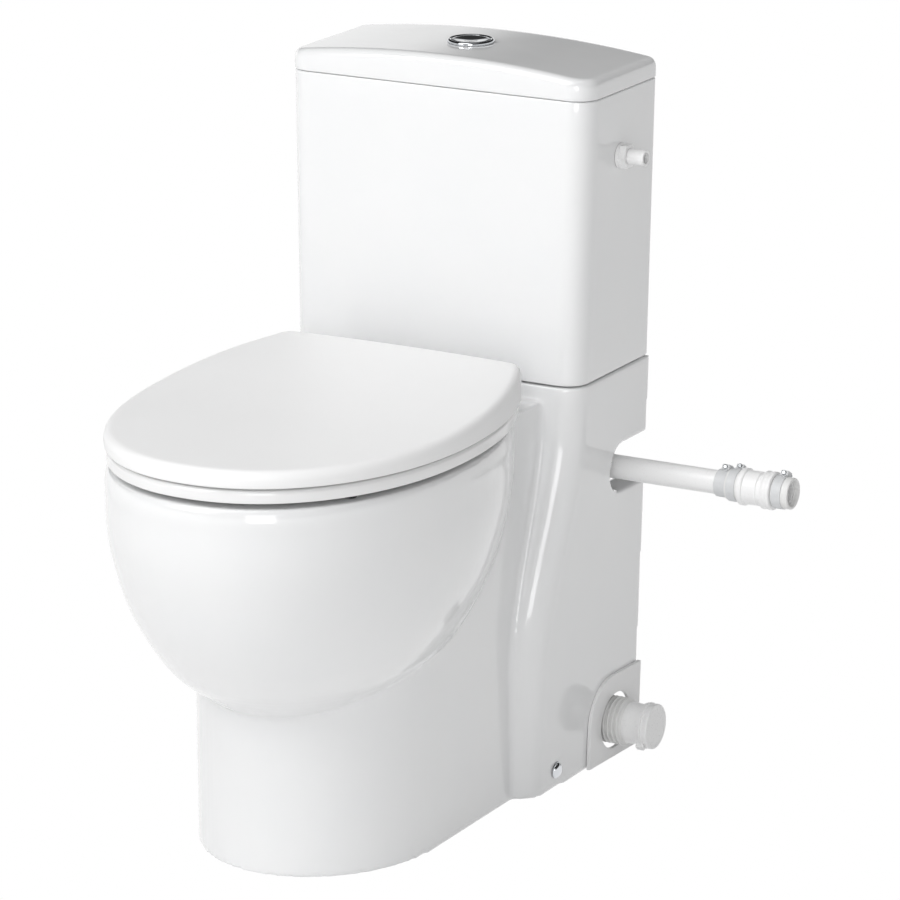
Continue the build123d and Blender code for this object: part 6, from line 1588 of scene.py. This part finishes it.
@dataclass
class Studio:
    """Camera, pale floor and soft lamps of a plain product studio."""

    eye: Point = (2.4660, -4.5511, 1.8280)
    look: Point = (-0.4675, 0.8382, -0.2808)
    lens: float = 195.37
    sensor: float = 36.0
    lamps: tuple[tuple[str, Point, Point, Pair, float], ...] = (
        ("key", (-1.6, -3.6, 3.0), (0.0, -0.3, 0.4), (1.8, 2.0), 60.0),
        ("front", (1.8, -3.9, 1.3), (0.0, -0.3, 0.4), (1.4, 2.0), 34.0),
        ("top", (-0.3, -1.6, 2.9), (0.0, -0.5, 0.45), (1.8, 1.4), 20.0))
    floor_reach: float = 14.0
    paper: str = "#F4F4F4"
    backdrop: str = "#FFFFFF"
    fill: float = 0.39
    room: tuple[tuple[float, str], ...] = (
        (0.0, "#FFFFFF"), (1.0, "#B4B4B4"), (0.16, "#F4F4F4"), (0.24, "#3C3C3C"), (0.84, "#303030"))

    def camera(self) -> None:
        """Set the camera to the photograph's view."""
        data = bpy.data.cameras.new("view")
        data.lens = self.lens
        data.sensor_width = self.sensor
        data.sensor_fit = "HORIZONTAL"
        data.clip_end = 60.0
        camera = stand("view", data)
        back = -Vector(self.look).normalized()
        right = Vector((0, 0, 1)).cross(back).normalized()
        up = back.cross(right)
        camera.matrix_world = Matrix.Translation(self.eye) @ Matrix((right, up, back)).transposed().to_4x4()
        bpy.context.scene.camera = camera

    def lamp(self, name: str, place: Point, aim: Point, size: Pair, power: float) -> None:
        """Hang one soft rectangular lamp.

        Args:
            name: Name of the lamp.
            place: Where it hangs, in metres.
            aim: Point that it faces.
            size: Its width and height, in metres.
            power: Its power in watts.
        """
        data = bpy.data.lights.new(name, "AREA")
        data.shape = "RECTANGLE"
        data.size, data.size_y = size
        data.energy = power
        lamp = stand(name, data)
        turn = (Vector(place) - Vector(aim)).to_track_quat("Z", "Y").to_matrix().to_4x4()
        lamp.matrix_world = Matrix.Translation(place) @ turn

    def floor(self) -> None:
        """Lay the pale floor, white to the camera away from the toilet's soft shadow."""
        size = self.floor_reach
        mesh = bpy.data.meshes.new("floor")
        mesh.from_pydata([(-size, -size, 0), (size, -size, 0), (size, size, 0), (-size, size, 0)], [], [(0, 1, 2, 3)])
        floor = stand("floor", mesh)
        material = bpy.data.materials.new("white seamless paper")
        tree = fresh_tree(material)
        seen = seen_by(tree, "Camera", "Glossy", "Transmission")
        paper = add_node(tree, "ShaderNodeBsdfDiffuse", {"Color": linear(self.paper)})
        glow = add_node(tree, "ShaderNodeEmission", {"Color": linear(self.backdrop), "Strength": 1.0})
        mixed = add_node(tree, "ShaderNodeMixShader", {0: seen, 1: paper.outputs[0], 2: glow.outputs[0]})
        add_node(tree, "ShaderNodeOutputMaterial", {"Surface": mixed.outputs[0]})
        floor.data.materials.append(material)

    def world(self) -> None:
        """White surround for the camera, a plain dim fill for the light, and a dark band for reflections.

        What shines reflects the white sweep up to well above the horizon, the dark upper wall of the
        studio over it, and a pale ceiling.
        """
        world = bpy.data.worlds.new("surround")
        tree = fresh_tree(world)
        seen = seen_by(tree, "Camera", "Transmission")
        fill = add_node(tree, "ShaderNodeBackground", {"Color": linear("#FFFFFF"), "Strength": self.fill})
        white = add_node(tree, "ShaderNodeBackground", {"Color": linear(self.backdrop), "Strength": 1.0})
        place = add_node(tree, "ShaderNodeTexCoord").outputs["Generated"]
        rise = add_node(tree, "ShaderNodeSeparateXYZ", {0: place}).outputs["Z"]
        ramp = add_node(tree, "ShaderNodeValToRGB", {"Fac": rise})
        ramp.color_ramp.interpolation = "EASE"
        marks = ramp.color_ramp.elements
        for index, (at, code) in enumerate(self.room):
            mark = marks[index] if index < 2 else marks.new(at)
            mark.position, mark.color = at, linear(code)
        room = add_node(tree, "ShaderNodeBackground", {"Color": ramp.outputs["Color"], "Strength": 1.0})
        shine = add_node(tree, "ShaderNodeMixShader", {
            0: seen_by(tree, "Glossy"), 1: fill.outputs[0], 2: room.outputs[0]})
        mixed = add_node(tree, "ShaderNodeMixShader", {0: seen, 1: shine.outputs[0], 2: white.outputs[0]})
        add_node(tree, "ShaderNodeOutputWorld", {"Surface": mixed.outputs[0]})
        bpy.context.scene.world = world

    def build(self) -> None:
        """Set the camera, the floor, the surround and the lamps."""
        self.camera()
        self.floor()
        self.world()
        for lamp in self.lamps:
            self.lamp(*lamp)
        bpy.context.scene.view_settings.view_transform = "Standard"


def main() -> None:
    """Build the studio and every sub-assembly in order."""
    logging.basicConfig(level=logging.INFO, format="%(message)s")
    Studio().build()
    for assembly in (Pan(), Cistern(), Seat(), FlushButtons(), Discharge(), LowInlet(), SmallMetal()):
        assembly.build()
    InnerWorks().dress()


if __name__ == "__main__":
    main()
